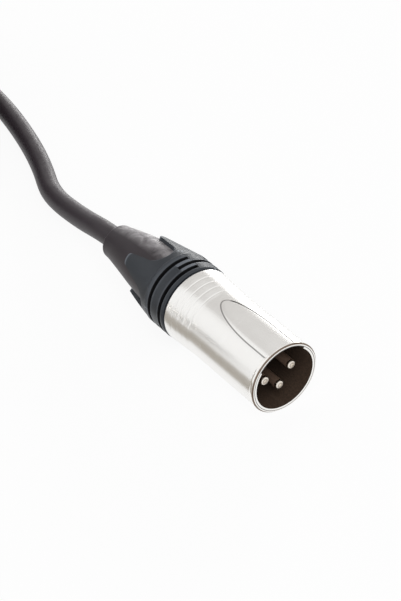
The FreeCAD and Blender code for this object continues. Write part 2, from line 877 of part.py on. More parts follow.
def rounded_wire(points):
    """Straight runs joined by tangent arcs."""
    edges = []
    start = points[0]
    for before, corner, after in zip(points, points[1:], points[2:]):
        towards = (before - corner).normalize()
        away = (after - corner).normalize()
        reach = 0.45 * min((before - corner).Length, (after - corner).Length)
        radius = bend_radius(before, corner, after)
        first = corner + towards * reach
        last = corner + away * reach
        bisector = (towards + away).normalize()
        depth = math.hypot(radius, reach) - radius
        edges.append(Part.LineSegment(start, first).toShape())
        edges.append(Part.Arc(first, corner + bisector * depth, last).toShape())
        start = last
    edges.append(Part.LineSegment(start, points[-1]).toShape())
    return Part.Wire(edges)


def tube_along(points, radius):
    """A round solid along a route, checked against its section times its length."""
    wire = rounded_wire(points)
    direction = points[1] - points[0]
    section = Part.Wire([Part.Circle(points[0], direction, radius).toShape()])
    tube = wire.makePipeShell([section], True, True)
    expected = math.pi * radius ** 2 * wire.Length
    if not tube.isValid() or abs(tube.Volume / expected - 1) > 0.01:
        raise RuntimeError("a tube's volume is not its section times its length")
    return tube, wire.Length


def keep_tube(name, label, points, radius, place=Placement()):
    """Adds a tube along a route as a sub-part."""
    feature = doc.addObject("Part::Feature", name)
    feature.Shape, length = tube_along(points, radius)
    keep(feature, label, place)
    return length


def make_wires(name, shell_length, place, angles, label):
    """Three short wires from the solder cups to the end of the cord's jacket."""
    cup_end = shell_length.value - size.insert_rear.value + size.cup_length.value
    cup_bottom = cup_end - size.cup_depth.value
    jacket = shell_length.value + size.jacket_end.value
    tail = (jacket - cup_end) / 3
    for number, angle in angles.items():
        outer = around(angle, size.contact_circle.value)
        inner = around(angle, size.wire_circle.value)
        points = [
            Vector(cup_bottom, *outer),
            Vector(cup_end + tail / 2, *outer),
            Vector(jacket - tail, *inner),
            Vector(jacket, *inner),
        ]
        keep_tube(f"{name}{number}", f"{label}_{number}", points, size.wire_radius.value, place)


coil_centre = Vector(size.coil_centre_forward.value, size.coil_centre_side.value, 0)
cord_diameter = 2 * size.cord_radius
coil_outer = size.coil_radius + size.coil_wide * size.cord_radius
coil_inner = size.coil_radius - size.coil_wide * size.cord_radius
coil_height = size.coil_high * cord_diameter
# The last turn lies in the groove between the two outer turns of the top layer.
top_turn_radius = size.coil_radius + size.cord_radius
top_turn_height = coil_height - size.cord_radius + math.sqrt(3) * size.cord_radius
coil_top = top_turn_height + size.cord_radius


def coil_point(angle, radius, height):
    """A point beside the coil's centre, at an angle from +X."""
    turn = math.radians(angle)
    return coil_centre + Vector(radius * math.cos(turn), radius * math.sin(turn), height)


# Route of the lead, from the end of the jacket in the plug to the coil's outer turn.
axis_z = axis_height.value
table_z = size.cord_radius.value
plug_jacket = plug_mouth.x - size.plug_shell_length.value - size.jacket_end.value
outer_turn = (coil_outer - size.cord_radius).value
LEAD = [
    Vector(plug_jacket, 0, axis_z),
    Vector(-19, 0, axis_z),
    Vector(-38, 0.1, 9.8),
    Vector(-52, 1.0, 6.0),
    Vector(-68.5, 2.2, table_z),
    Vector(-80.5, 7.4, table_z),
    Vector(-94, 11.5, table_z),
    Vector(-110, 14.8, table_z),
    Vector(-125, 16.3, table_z),
    Vector(-139, 14.7, table_z),
    coil_point(110, outer_turn, table_z),
]

# Route of the tail, over the top turn, down beside the coil and up into the socket's boot.
top_radius = top_turn_radius.value
top_height = top_turn_height.value
beside_coil = coil_outer.value + size.cord_radius.value + 0.5
socket_jacket = socket_mouth.x - size.socket_shell_length.value - size.jacket_end.value
TAIL = [
    coil_point(38, top_radius, top_height),
    coil_point(64, top_radius + 0.8, top_height + 1.7),
    coil_point(92, top_radius + 4.2, top_height + 4.0),
    coil_point(120, beside_coil - 1.0, top_height + 2.7),
    coil_point(146, beside_coil + 0.6, 23.6),
    coil_point(170, beside_coil + 0.4, 18.3),
    coil_point(194, beside_coil + 0.4, 13.4),
    coil_point(218, beside_coil + 0.4, 8.8),
    coil_point(242, beside_coil + 0.4, 5.0),
    coil_point(264, beside_coil + 0.2, 3.1),
    Vector(-126.5, -68.4, 3.6),
    Vector(-113, -64.9, 6.5),
    Vector(-100, -62.3, 9.3),
    Vector(-86, size.socket_row.value, axis_z),
    Vector(socket_jacket, size.socket_row.value, axis_z),
]


def print_bends(name, route):
    radii = [bend_radius(*corner) for corner in zip(route, route[1:], route[2:])]
    print(name, "bend radii in mm:", [round(radius, 1) for radius in radii])


def make_cord():
    """Lead, coil, tail and the tie round the coil."""
    radius = size.cord_radius.value
    print_bends("lead", LEAD)
    print_bends("tail", TAIL)
    lead = keep_tube("CordLead", "cord_lead", LEAD, radius)
    tail = keep_tube("CordTail", "cord_tail", TAIL, radius)
    turns = size.coil_wide.value * size.coil_high.value
    wound = 2 * math.pi * (turns * size.coil_radius.value + 0.8 * top_radius)
    print("cord length in mm:", round(lead + tail + wound, 1), "in lead, coil and tail", lead, wound, tail)

    thick = size.tie_thickness
    round_off = size.coil_round
    ridge_inner = top_turn_radius - size.coil_ridge / 2
    ridge_outer = top_turn_radius + size.coil_ridge / 2
    shoulder = coil_height - round_off
    tie = new_body("TieBody")
    sketch = new_sketch(tie, "TieSection", "XZ_Plane")
    # The strap's free end laps over its outer shoulder and the top, as a second layer.
    draw_outline(sketch, [
        (coil_inner - thick, 0),
        (coil_outer + thick, 0),
        (coil_outer + thick, shoulder),
        (coil_outer + 2 * thick, shoulder),
        (coil_outer + 2 * thick, shoulder + thick),
        (ridge_outer + 2 * thick, coil_top + 2 * thick),
        (ridge_inner - thick, coil_top + 2 * thick),
        (coil_inner - thick, shoulder + 2 * thick),
    ])
    draw_outline(sketch, [
        (coil_inner, thick),
        (coil_outer, thick),
        (coil_outer, shoulder),
        (ridge_outer, coil_top),
        (ridge_inner, coil_top),
        (coil_inner, shoulder),
    ])
    wrap = tie.newObject("PartDesign::Revolution", "TieWrapped")
    wrap.Profile = sketch
    wrap.ReferenceAxis = (sketch, ["V_Axis"])
    wrap.Midplane = True
    wrap.setExpression("Angle", size.tie_angle.text)
    doc.recompute()

    ring = new_body("CoilRing")
    corners = [
        (coil_inner + round_off, 0),
        (coil_outer - round_off, 0),
        (coil_outer, round_off),
        (coil_outer, shoulder),
        (ridge_outer, coil_top),
        (ridge_inner, coil_top),
        (coil_inner + round_off, coil_height),
        (coil_inner, shoulder),
        (coil_inner, round_off),
    ]
    revolve(ring, "CoilTurned", corners, axis="V_Axis")
    turned = Placement(coil_centre, Rotation(Vector(0, 0, 1), size.tie_turn.value))
    keep(combine("Cut", "CordCoil", ring, tie), "cord_coil", turned)
    keep(tie, "cord_tie", turned)


# The assembly.
make_plug_shell()
make_plug_insert()
make_pins()
make_ground_contact("PlugGround", size.plug_shell_length, plug_place, "plug_ground_contact")
make_chuck("PlugChuck", size.plug_shell_length, plug_place, "plug_chuck")
make_collar("PlugCollar", size.plug_shell_length, plug_place, "plug_collar")
make_boot("PlugBoot", size.plug_shell_length, plug_place, "plug_boot")
make_wires("PlugWire", size.plug_shell_length, plug_place, PLUG_CONTACTS, "plug_wire")
make_socket_shell()
make_socket_insert()
make_sockets()
make_latch()
make_latch_pivot()
make_latch_spring()
make_ground_contact("SocketGround", size.socket_shell_length, socket_place, "socket_ground_contact")
make_chuck("SocketChuck", size.socket_shell_length, socket_place, "socket_chuck")
make_collar("SocketCollar", size.socket_shell_length, socket_place, "socket_collar")
make_boot("SocketBoot", size.socket_shell_length, socket_place, "socket_boot")
make_wires("SocketWire", size.socket_shell_length, socket_place, SOCKET_CONTACTS, "socket_wire")
make_cord()
doc.recompute()

faults = [item.Name for item in doc.Objects if {"Invalid", "Error"} & set(item.State)]
faults += [item.Label for item in subparts if item.Shape.isNull() or not item.Shape.isValid()]
if faults:
    raise RuntimeError("these objects failed: " + ", ".join(faults))

os.makedirs("parts", exist_ok=True)
for item in subparts:
    item.Shape.exportStep(os.path.join("parts", item.Label + ".step"))
    solids = len(item.Shape.Solids)
    print(item.Label, "solids", solids, "volume in cubic mm", round(item.Shape.Volume, 2))
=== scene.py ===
# %% [markdown]
# # A microphone cable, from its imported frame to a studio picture
#
# The cable has a plug with three pins, three metres of round cord wound into a tied coil, and a socket
# with a latch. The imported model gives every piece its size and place, and this lesson gives each
# visible piece its finished form and surface. Everything is in metres, in the frame of the model.

# %% Load the frame
import math

import bpy
from mathutils import Euler, Matrix, Quaternion, Vector


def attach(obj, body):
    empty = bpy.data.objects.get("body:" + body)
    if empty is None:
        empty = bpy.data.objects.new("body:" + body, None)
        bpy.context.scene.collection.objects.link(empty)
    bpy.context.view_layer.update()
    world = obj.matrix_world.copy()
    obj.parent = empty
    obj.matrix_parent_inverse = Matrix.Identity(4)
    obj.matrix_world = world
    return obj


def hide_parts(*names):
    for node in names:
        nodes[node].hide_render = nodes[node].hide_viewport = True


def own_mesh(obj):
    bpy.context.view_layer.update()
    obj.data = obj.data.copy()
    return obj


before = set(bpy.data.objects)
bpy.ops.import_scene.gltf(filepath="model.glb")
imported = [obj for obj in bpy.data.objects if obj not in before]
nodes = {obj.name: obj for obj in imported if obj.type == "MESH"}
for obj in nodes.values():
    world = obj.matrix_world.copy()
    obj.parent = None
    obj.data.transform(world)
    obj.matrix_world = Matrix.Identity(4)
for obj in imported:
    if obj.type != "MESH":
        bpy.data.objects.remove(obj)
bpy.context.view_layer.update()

MM = 0.001

# %% [markdown]
# ## The camera
#
# The photograph was taken from the front right and well above, with a long lens. Its angle was found
# by fitting the standard circles of the plug's mouth and pins. A long lens keeps the barrel's sides
# almost parallel, so the focal length matters less than the two angles and the place.

# %% The camera
VIEW_AZIMUTH = 53.640
VIEW_ELEVATION = 37.846
CAMERA_PLACE = Vector((308.46, -225.75, 308.14)) * MM

camera_data = bpy.data.cameras.new("photo_camera")
camera_data.sensor_fit = "AUTO"
camera_data.sensor_width = 36.0
camera_data.lens = 119.8
camera_data.clip_start = 0.01
camera = bpy.data.objects.new("photo_camera", camera_data)
bpy.context.scene.collection.objects.link(camera)
camera.location = CAMERA_PLACE
camera.rotation_euler = Euler((math.radians(90 - VIEW_ELEVATION), 0, math.radians(VIEW_AZIMUTH)))
bpy.context.scene.camera = camera
print("camera at", [round(value, 4) for value in camera.location])

# %% [markdown]
# ## The cord
#
# A cord is one smooth line with a round section, so it is one NURBS curve with a bevel. The lead runs
# from the plug over the table, then come twelve turns, three wide and four high, and the tail goes
# down beside the coil and up into the socket. The curve rounds each control point by itself.

# %% The cord's route
CORD_RADIUS = 2.9
COIL_CENTRE = Vector((-138.4, -25.5, 0.0))
TURN_RADII = (37.3, 31.5, 25.7)
LAYERS = 4
POINTS_PER_TURN = 12
TIE_ANGLE = -20.0
STRAP_THICKNESS = 1.0

LEAD = [
    (-6.0, 0.0, 10.05),
    (-19.0, 0.0, 10.05),
    (-38.0, 0.1, 9.1),
    (-52.0, 0.9, 5.4),
    (-68.5, 2.2, 2.9),
    (-80.5, 7.4, 2.9),
    (-94.0, 11.5, 2.9),
    (-110.0, 14.8, 2.9),
    (-125.0, 16.3, 2.9),
    (-139.0, 14.7, 2.9),
]
# The tail as angle, radius and height round the coil, and then as plain points.
TAIL = [
    (38, 35.6, 25.3),
    (64, 36.2, 27.2),
    (92, 39.6, 30.2),
    (120, 43.6, 28.6),
    (146, 45.2, 23.8),
    (170, 44.9, 18.3),
    (194, 44.9, 13.4),
    (218, 44.9, 8.8),
    (242, 44.9, 5.0),
    (264, 44.4, 3.1),
]
RISE = [
    (-126.5, -68.4, 3.6),
    (-113.0, -64.9, 6.5),
    (-100.0, -62.3, 9.3),
    (-86.0, -61.5, 10.05),
    (-76.0, -61.5, 10.05),
]


def beside_coil(angle, radius, height):
    """A point at an angle round the coil's centre, in millimetres."""
    turn = math.radians(angle)
    return COIL_CENTRE + Vector((radius * math.cos(turn), radius * math.sin(turn), height))


def strap_lift(angle):
    """How far the strap under the turns raises them, fading out round the coil."""
    away = abs((angle - TIE_ANGLE + 180) % 360 - 180)
    return STRAP_THICKNESS * math.cos(math.radians(min(away, 60) * 1.5)) ** 2


# Where a turn climbs to the next layer it swings aside by this share, and rises by this much.
CLIMB = {-4: (0.25, 0.3), -3: (0.5, 0.7), -2: (0.8, 1.7), -1: (1.0, 3.8), 0: (0.75, -0.7), 1: (0.25, 0.0)}
SWING = 4.5


def coil_points():
    """Control points of the turns: a turn steps sideways where the lead joins, and climbs there at a layer's end."""
    step = 360 / POINTS_PER_TURN
    # A control point lies outside the curve that it pulls, by this much.
    middle = 0.75 + 0.25 * math.cos(math.radians(step))
    reach = 2 / (math.cos(math.radians(step / 2)) + middle)
    places = []
    for layer in range(LAYERS):
        radii = TURN_RADII if layer % 2 == 0 else TURN_RADII[::-1]
        for radius in radii:
            for index in range(POINTS_PER_TURN):
                places.append([90 + step / 2 + step * index, radius, CORD_RADIUS * (1 + 2 * layer)])
    for turn_start in range(POINTS_PER_TURN, len(places), POINTS_PER_TURN):
        last, first = places[turn_start - 1], places[turn_start]
        last[1] = (last[1] + first[1]) / 2
    turns_per_layer = len(TURN_RADII) * POINTS_PER_TURN
    for layer in range(1, LAYERS):
        inside = layer % 2 == 1
        for offset, (share, rise) in CLIMB.items():
            place = places[layer * turns_per_layer + offset]
            place[1] += -share * SWING if inside else share * SWING
            place[2] += rise
    # The last turn lies in the groove between the two outer turns of the top layer.
    groove_radius = TURN_RADII[1] + CORD_RADIUS
    groove_height = CORD_RADIUS * (2 * LAYERS - 1 + math.sqrt(3))
    places[-1][1:] = [37.6, 22.8]
    for index in range(POINTS_PER_TURN - 2):
        places.append([105 + step * index, groove_radius, groove_height])
    return [beside_coil(angle, radius * reach, height + strap_lift(angle)) for angle, radius, height in places]


route = [Vector(point) for point in LEAD] + coil_points()
route += [beside_coil(*place) for place in TAIL] + [Vector(point) for point in RISE]

curve = bpy.data.curves.new("cord", "CURVE")
curve.dimensions = "3D"
spline = curve.splines.new("NURBS")
spline.points.add(len(route) - 1)
for point, place in zip(spline.points, route):
    point.co = (*(place * MM), 1.0)
    point.radius = CORD_RADIUS * MM
spline.order_u = 3
spline.use_endpoint_u = True
spline.resolution_u = 6
curve.bevel_depth = 1.0
curve.bevel_resolution = 6
curve.use_fill_caps = True
cord = bpy.data.objects.new("cord", curve)
bpy.context.scene.collection.objects.link(cord)
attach(cord, "cable")
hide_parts("cord_lead", "cord_coil", "cord_tail")
cord_length = spline.calc_length()
print("control points:", len(route), "cord length in metres:", round(cord_length, 3))

# %% [markdown]
# ## Finishes
#
# Each material is a Principled shader fed by small shared effects. An effect is a node group that
# gives out masks and heights only: turned lines round a shell, the fine grain of moulded plastic, the
# pale bloom on rubber with a painted sheen on its upper side, and a mask for edges, which are worn and
# on the collar also a painted highlight. They read Object coordinates, which are metres here, so a
# scale of 4000 is a pattern of about a quarter of a millimetre.

# %% Helpers for materials
def new_group(name, inputs, outputs):
    """An empty shader node group with named float sockets."""
    group = bpy.data.node_groups.new(name, "ShaderNodeTree")
    for socket, value in inputs.items():
        group.interface.new_socket(name=socket, in_out="INPUT", socket_type="NodeSocketFloat").default_value = value
    for socket in outputs:
        group.interface.new_socket(name=socket, in_out="OUTPUT", socket_type="NodeSocketFloat")
    return group, group.nodes.new("NodeGroupInput"), group.nodes.new("NodeGroupOutput")


def add_node(tree, kind, links=None, **settings):
    """A node with its settings, and with links or values for its inputs."""
    node = tree.nodes.new("ShaderNode" + kind)
    for name, value in settings.items():
        setattr(node, name, value)
    for socket, value in (links or {}).items():
        if isinstance(value, bpy.types.NodeSocket):
            tree.links.new(value, node.inputs[socket])
        else:
            node.inputs[socket].default_value = value
    return node


def arithmetic(tree, operation, first, second=0.0, third=0.0):
    """The output of a Math node."""
    return add_node(tree, "Math", {0: first, 1: second, 2: third}, operation=operation).outputs[0]


# %% The shared effects
lines_group, lines_in, lines_out = new_group("turned_lines", {"Scale": 5000.0}, ["Line", "Patch"])
coordinate = add_node(lines_group, "TexCoord").outputs["Object"]
parts = add_node(lines_group, "SeparateXYZ", {0: coordinate})
along = arithmetic(lines_group, "MULTIPLY", parts.outputs["X"], lines_in.outputs["Scale"])
around_axis = [arithmetic(lines_group, "MULTIPLY", parts.outputs[axis], 60.0) for axis in "YZ"]
stretched = add_node(lines_group, "CombineXYZ", {"X": along, "Y": around_axis[0], "Z": around_axis[1]})
line = add_node(lines_group, "TexNoise", {"Vector": stretched.outputs[0], "Scale": 1.0, "Detail": 2.0})
patch = add_node(lines_group, "TexNoise", {"Vector": coordinate, "Scale": 260.0, "Detail": 3.0})
lines_group.links.new(line.outputs["Fac"], lines_out.inputs["Line"])
lines_group.links.new(patch.outputs["Fac"], lines_out.inputs["Patch"])

grain_group, grain_in, grain_out = new_group("moulded_grain", {"Scale": 6000.0}, ["Grain", "Patch"])
coordinate = add_node(grain_group, "TexCoord").outputs["Object"]
grain = add_node(grain_group, "TexNoise", {"Vector": coordinate, "Scale": grain_in.outputs["Scale"], "Detail": 2.0})
patch = add_node(grain_group, "TexNoise", {"Vector": coordinate, "Scale": 220.0, "Detail": 4.0, "Roughness": 0.6})
grain_group.links.new(grain.outputs["Fac"], grain_out.inputs["Grain"])
grain_group.links.new(patch.outputs["Fac"], grain_out.inputs["Patch"])

# Bloom and painted sheen: a cloudy film, shown only on the upper side that faces away from the camera, where it paints
# a pale sheen.
bloom_sheen_group, bloom_sheen_in, bloom_sheen_out = new_group("rubber_bloom_and_sheen", {"Scale": 320.0, "Cover": 0.5}, ["Bloom"])
coordinate = add_node(bloom_sheen_group, "TexCoord").outputs["Object"]
cloud = add_node(bloom_sheen_group, "TexNoise", {"Vector": coordinate, "Scale": bloom_sheen_in.outputs["Scale"], "Detail": 5.0,
                                           "Roughness": 0.65, "Distortion": 0.6})
start = arithmetic(bloom_sheen_group, "SUBTRACT", 0.95, bloom_sheen_in.outputs["Cover"])
cloudy = add_node(bloom_sheen_group, "MapRange", {"Value": cloud.outputs["Fac"], "From Min": start, "From Max": 0.75})
facing = add_node(bloom_sheen_group, "VectorMath", {0: add_node(bloom_sheen_group, "NewGeometry").outputs["Normal"],
                                              1: (0, 0.866, 0.5)}, operation="DOT_PRODUCT")
upper = add_node(bloom_sheen_group, "MapRange", {"Value": facing.outputs["Value"], "From Min": 0.12, "From Max": 0.72})
bloom_sheen_group.links.new(arithmetic(bloom_sheen_group, "MULTIPLY", cloudy.outputs["Result"], upper.outputs["Result"]),
                      bloom_sheen_out.inputs["Bloom"])

edge_group, edge_in, edge_out = new_group("worn_and_highlit_edges", {"Start": 0.52, "End": 0.6}, ["Edge"])
sharpness = add_node(edge_group, "NewGeometry").outputs["Pointiness"]
ramp = add_node(edge_group, "MapRange", {"Value": sharpness, "From Min": edge_in.outputs["Start"],
                                         "From Max": edge_in.outputs["End"]})
edge_group.links.new(ramp.outputs["Result"], edge_out.inputs["Edge"])
print("shared effects:", [group.name for group in bpy.data.node_groups])


# %% Building a material
def new_material(name, **uniform):
    """A material whose Principled shader has its uniform numbers set on its own sockets."""
    material = bpy.data.materials.new(name)
    material.use_nodes = True
    shader = material.node_tree.nodes["Principled BSDF"]
    for socket, value in uniform.items():
        shader.inputs[socket.replace("_", " ")].default_value = value
    return material, material.node_tree, shader


def effect(tree, group, **values):
    """A shared effect placed in a material with its own values."""
    node = tree.nodes.new("ShaderNodeGroup")
    node.node_tree = group
    for socket, value in values.items():
        node.inputs[socket].default_value = value
    return node.outputs


def colour_between(tree, mask, first, second):
    """A colour that goes from the first to the second as the mask goes from 0 to 1."""
    first, second = [end if isinstance(end, bpy.types.NodeSocket) else (*end, 1) for end in (first, second)]
    return add_node(tree, "Mix", {"Factor": mask, 6: first, 7: second}, data_type="RGBA").outputs[2]


def value_between(tree, mask, first, second):
    """A number that goes from the first to the second as the mask goes from 0 to 1."""
    return add_node(tree, "MapRange", {"Value": mask, "To Min": first, "To Max": second}).outputs["Result"]


def raise_surface(tree, shader, height, depth, strength=1.0):
    """A bump of some millimetres' depth on the shader's normal."""
    bump = add_node(tree, "Bump", {"Height": height, "Distance": depth * MM, "Strength": strength})
    tree.links.new(bump.outputs["Normal"], shader.inputs["Normal"])


def coat(piece, material):
    """The piece's only material."""
    piece.data.materials.clear()
    piece.data.materials.append(material)


# %% [markdown]
# ## Metals
#
# The shells are satin nickel with a brighter rim, and the pins, contacts and springs are metals too.
# Each could have nodes of its own. All get fine lines round the axis and a slight drift of tone, so one
# function takes the tones, the roughness and the depth of the lines.

# %% Metals
def metal(name, dark, light, rough, scale, depth):
    """A turned metal: fine lines round the axis, and a slight drift of tone."""
    material, tree, shader = new_material(name, Metallic=1.0)
    lines = effect(tree, lines_group, Scale=scale)
    tone = arithmetic(tree, "MULTIPLY_ADD", lines["Line"], 0.6, arithmetic(tree, "MULTIPLY", lines["Patch"], 0.4))
    tree.links.new(colour_between(tree, tone, dark, light), shader.inputs["Base Color"])
    tree.links.new(value_between(tree, tone, *rough), shader.inputs["Roughness"])
    raise_surface(tree, shader, lines["Line"], depth)
    return material


nickel = metal("satin_nickel", (0.87, 0.855, 0.835), (0.955, 0.95, 0.93), (0.22, 0.30), 5200.0, 0.004)
polished_nickel = metal("polished_nickel", (0.88, 0.86, 0.83), (0.97, 0.96, 0.93), (0.10, 0.18), 4200.0, 0.002)
# Painted shade: a darker nickel for the fine line round the panel and for the groove in the rim's face, and a darker
# copy still for the line's right side.
seam_painted_shade = metal("seam_painted_shade", (0.30, 0.29, 0.28), (0.42, 0.41, 0.40), (0.34, 0.44), 5200.0, 0.004)
shaded_seam = metal("shaded_seam", (0.035, 0.033, 0.031), (0.055, 0.052, 0.05), (0.34, 0.44), 5200.0, 0.004)
contact_metal = metal("plated_contact", (0.72, 0.66, 0.58), (0.92, 0.87, 0.80), (0.14, 0.24), 6500.0, 0.002)
# Painted shade: a darker ring round each pin's dimpled tip.
pin_tip_painted_shade = metal("pin_tip_painted_shade", (0.38, 0.33, 0.28), (0.56, 0.50, 0.44), (0.24, 0.34), 6500.0, 0.002)
# Painted shade: a brown ring on the chamfer outside the rim.
rim_chamfer_painted_shade = metal("rim_chamfer_painted_shade", (0.16, 0.12, 0.09), (0.26, 0.20, 0.16), (0.35, 0.50), 5200.0, 0.004)
spring_steel = metal("spring_steel", (0.50, 0.50, 0.50), (0.64, 0.64, 0.63), (0.22, 0.34), 3800.0, 0.004)
chuck_metal = metal("chuck_metal", (0.55, 0.54, 0.52), (0.70, 0.69, 0.66), (0.28, 0.42), 3000.0, 0.006)


# %% [markdown]
# ## Plastics and rubbers
#
# The collar is hard moulded plastic, the boot is soft rubber with a pale bloom that also paints a sheen
# on its upper side, and the jacket is rubber too. They differ in tone, gloss, grain, pale edges (worn, and
# on the collar a painted highlight) and bloom with painted sheen, so one function takes those as values.

# %% Plastics and rubbers
def moulded(name, dark, light, edge, rough, scale, depth, edges=(0.52, 0.6), bloom_and_sheen=None, tone="Patch", **uniform):
    """A moulded plastic or rubber: fine grain, a drift of tone, paler edges, worn and in part a painted highlight, and
    perhaps a pale bloom with a painted sheen.
    """
    material, tree, shader = new_material(name, **uniform)
    grain = effect(tree, grain_group, Scale=scale)
    wear_and_highlight = effect(tree, edge_group, Start=edges[0], End=edges[1])["Edge"]
    body = colour_between(tree, grain[tone], dark, light)
    if bloom_and_sheen:
        body = colour_between(tree, effect(tree, bloom_sheen_group, Cover=0.7)["Bloom"], body, bloom_and_sheen)
    tree.links.new(colour_between(tree, wear_and_highlight, body, edge), shader.inputs["Base Color"])
    tree.links.new(value_between(tree, grain["Patch"], *rough), shader.inputs["Roughness"])
    raise_surface(tree, shader, grain["Grain"], depth)
    return material


# Painted highlight: the pale edge colour draws light lines along the collar's rounded edges.
slate_plastic = moulded("slate_plastic", (0.020, 0.024, 0.030), (0.032, 0.037, 0.046), (0.18, 0.20, 0.23),
                        (0.32, 0.44), 7000.0, 0.006, edges=(0.53, 0.59), Specular_IOR_Level=0.35)
# Painted shade: near black for the floors and walls of the collar's grooves.
groove_painted_shade = moulded("groove_painted_shade", (0.004, 0.004, 0.005), (0.008, 0.008, 0.009), (0.02, 0.02, 0.022),
                         (0.55, 0.70), 7000.0, 0.006)
insert_plastic = moulded("insert_plastic", (0.012, 0.011, 0.010), (0.022, 0.019, 0.017), (0.03, 0.028, 0.026),
                         (0.42, 0.55), 5000.0, 0.008)
# Painted shade and a painted reflection of the dark insert: the nickel inside the mouths is coloured from black to dark
# brown by its grain.
mouth_painted_shade = moulded("mouth_painted_shade", (0.0, 0.0, 0.0), (0.100, 0.060, 0.038), (0.13, 0.10, 0.08),
                     (0.45, 0.65), 2600.0, 0.040, tone="Grain", Specular_IOR_Level=0.2)
# Painted shade: the pins' shafts are dull brown instead of bright plating.
pin_shaft_painted_shade = moulded("pin_shaft_painted_shade", (0.10, 0.064, 0.045), (0.20, 0.135, 0.10), (0.20, 0.14, 0.10),
                    (0.30, 0.42), 5200.0, 0.004)
# Bloom and painted sheen: the boot's pale bloom colour, and the jacket's fainter one, are a cloudy film and a painted
# sheen on the upper side.
boot_rubber = moulded("boot_rubber", (0.015, 0.010, 0.013), (0.030, 0.021, 0.027), (0.06, 0.052, 0.057),
                      (0.40, 0.54), 4500.0, 0.014, bloom_and_sheen=(0.58, 0.555, 0.565), Specular_IOR_Level=0.45)
jacket_rubber = moulded("jacket_rubber", (0.024, 0.018, 0.022), (0.036, 0.027, 0.033), (0.045, 0.035, 0.041),
                        (0.38, 0.48), 2500.0, 0.002, bloom_and_sheen=(0.12, 0.11, 0.115), Specular_IOR_Level=0.4)
wire_colours = {"1": (0.62, 0.60, 0.56), "2": (0.45, 0.03, 0.02), "3": (0.02, 0.02, 0.022)}
wire_skins = {number: moulded("wire_skin_" + number, tuple(0.85 * part for part in colour), colour, colour,
                              (0.40, 0.50), 4000.0, 0.004) for number, colour in wire_colours.items()}

# %% [markdown]
# ## Woven tape
#
# The tie is woven tape. A picture of cloth could give the weave. Here two crossed sets of waves do, turned
# to lie along the strap, with a fuzz of grain over them, so nothing has to be read from a file.

# %% Woven tape
woven_tape, tree, shader = new_material("woven_tape", Roughness=0.85)
coordinate = add_node(tree, "TexCoord").outputs["Object"]
along_strap = add_node(tree, "Mapping", {"Vector": coordinate, "Rotation": (0, 0, math.radians(-TIE_ANGLE))}).outputs[0]
threads = [add_node(tree, "TexWave", {"Vector": along_strap, "Scale": 520.0, "Distortion": 0.6, "Detail": 1.0},
                    wave_type="BANDS", bands_direction=axis).outputs["Fac"] for axis in "YZ"]
weave = arithmetic(tree, "MAXIMUM", *threads)
fuzz = effect(tree, grain_group, Scale=9000.0)
tone = arithmetic(tree, "MULTIPLY", weave, fuzz["Grain"])
tree.links.new(colour_between(tree, tone, (0.012, 0.012, 0.013), (0.06, 0.058, 0.06)), shader.inputs["Base Color"])
raise_surface(tree, shader, tone, 0.12)
print("materials:", len(bpy.data.materials))

# %% Materials on the pieces that keep their own mesh
CARRIED = {
    "plug_insert": insert_plastic, "socket_insert": insert_plastic, "plug_ground_contact": spring_steel,
    "socket_ground_contact": spring_steel, "plug_chuck": chuck_metal, "socket_chuck": chuck_metal,
    "latch_pivot_pin": spring_steel, "latch_spring": spring_steel,
    "socket_contact_1": contact_metal, "socket_contact_2": contact_metal, "socket_contact_3": contact_metal}
CARRIED.update({f"{end}_wire_{number}": skin for end in ("plug", "socket") for number, skin in wire_skins.items()})
for name, material in CARRIED.items():
    nodes[name].data.materials.clear()
    nodes[name].data.materials.append(material)
cord.data.materials.append(jacket_rubber)
print("carried pieces:", len(CARRIED))

# %% [markdown]
# ## Turned pieces
#
# Shells, collars, boots and pins are all turned, so each starts as one vertex that is extruded along
# the section and then spun round the X axis. A section is a list of stations behind the connector's
# mouth with their radii. A third number softens that corner, as the edge of a casting is soft.

# %% Helpers for new pieces
def begin_at(name, point):
    """A new mesh of one vertex, in edit mode: a plane merged to its centre and moved."""
    bpy.ops.object.select_all(action="DESELECT")
    bpy.ops.mesh.primitive_plane_add(size=1, location=(0, 0, 0))
    piece = bpy.context.object
    piece.name = name
    bpy.ops.object.mode_set(mode="EDIT")
    bpy.ops.mesh.select_mode(type="VERT")
    bpy.ops.mesh.merge(type="CENTER")
    bpy.ops.transform.translate(value=point)
    return piece


def extrude_through(points):
    """Extrudes the selected vertex from the first point through the others."""
    for before, after in zip(points, points[1:]):
        bpy.ops.mesh.extrude_vertices_move(TRANSFORM_OT_translate={"value": Vector(after) - Vector(before)})


def softened(corners, closed=True):
    """The corners, with each third number turned into a short curve of four runs."""
    points = []
    count = len(corners)
    for index, corner in enumerate(corners):
        here = Vector(corner[:2])
        if len(corner) == 2 or (not closed and index in (0, count - 1)):
            points.append(here)
            continue
        before = Vector(corners[index - 1][:2]) - here
        after = Vector(corners[(index + 1) % count][:2]) - here
        start = here + before.normalized() * min(corner[2], 0.49 * before.length)
        end = here + after.normalized() * min(corner[2], 0.49 * after.length)
        for step in range(5):
            part = step / 4
            points.append((1 - part) ** 2 * start + 2 * part * (1 - part) * here + part ** 2 * end)
    return points


def turned_piece(name, corners, steps=128, closed=True):
    """A section of stations and radii in millimetres, spun round the X axis."""
    section = [Vector((-station, 0, radius)) * MM for station, radius in softened(corners, closed)]
    if closed:
        section.append(section[0])
    piece = begin_at(name, section[0])
    extrude_through(section)
    bpy.ops.mesh.select_all(action="SELECT")
    bpy.ops.mesh.spin(steps=steps, angle=math.tau, center=(0, 0, 0), axis=(1, 0, 0))
    bpy.ops.mesh.select_all(action="SELECT")
    bpy.ops.mesh.remove_doubles(threshold=0.002 * MM)
    bpy.ops.mesh.normals_make_consistent(inside=False)
    bpy.ops.object.mode_set(mode="OBJECT")
    return piece


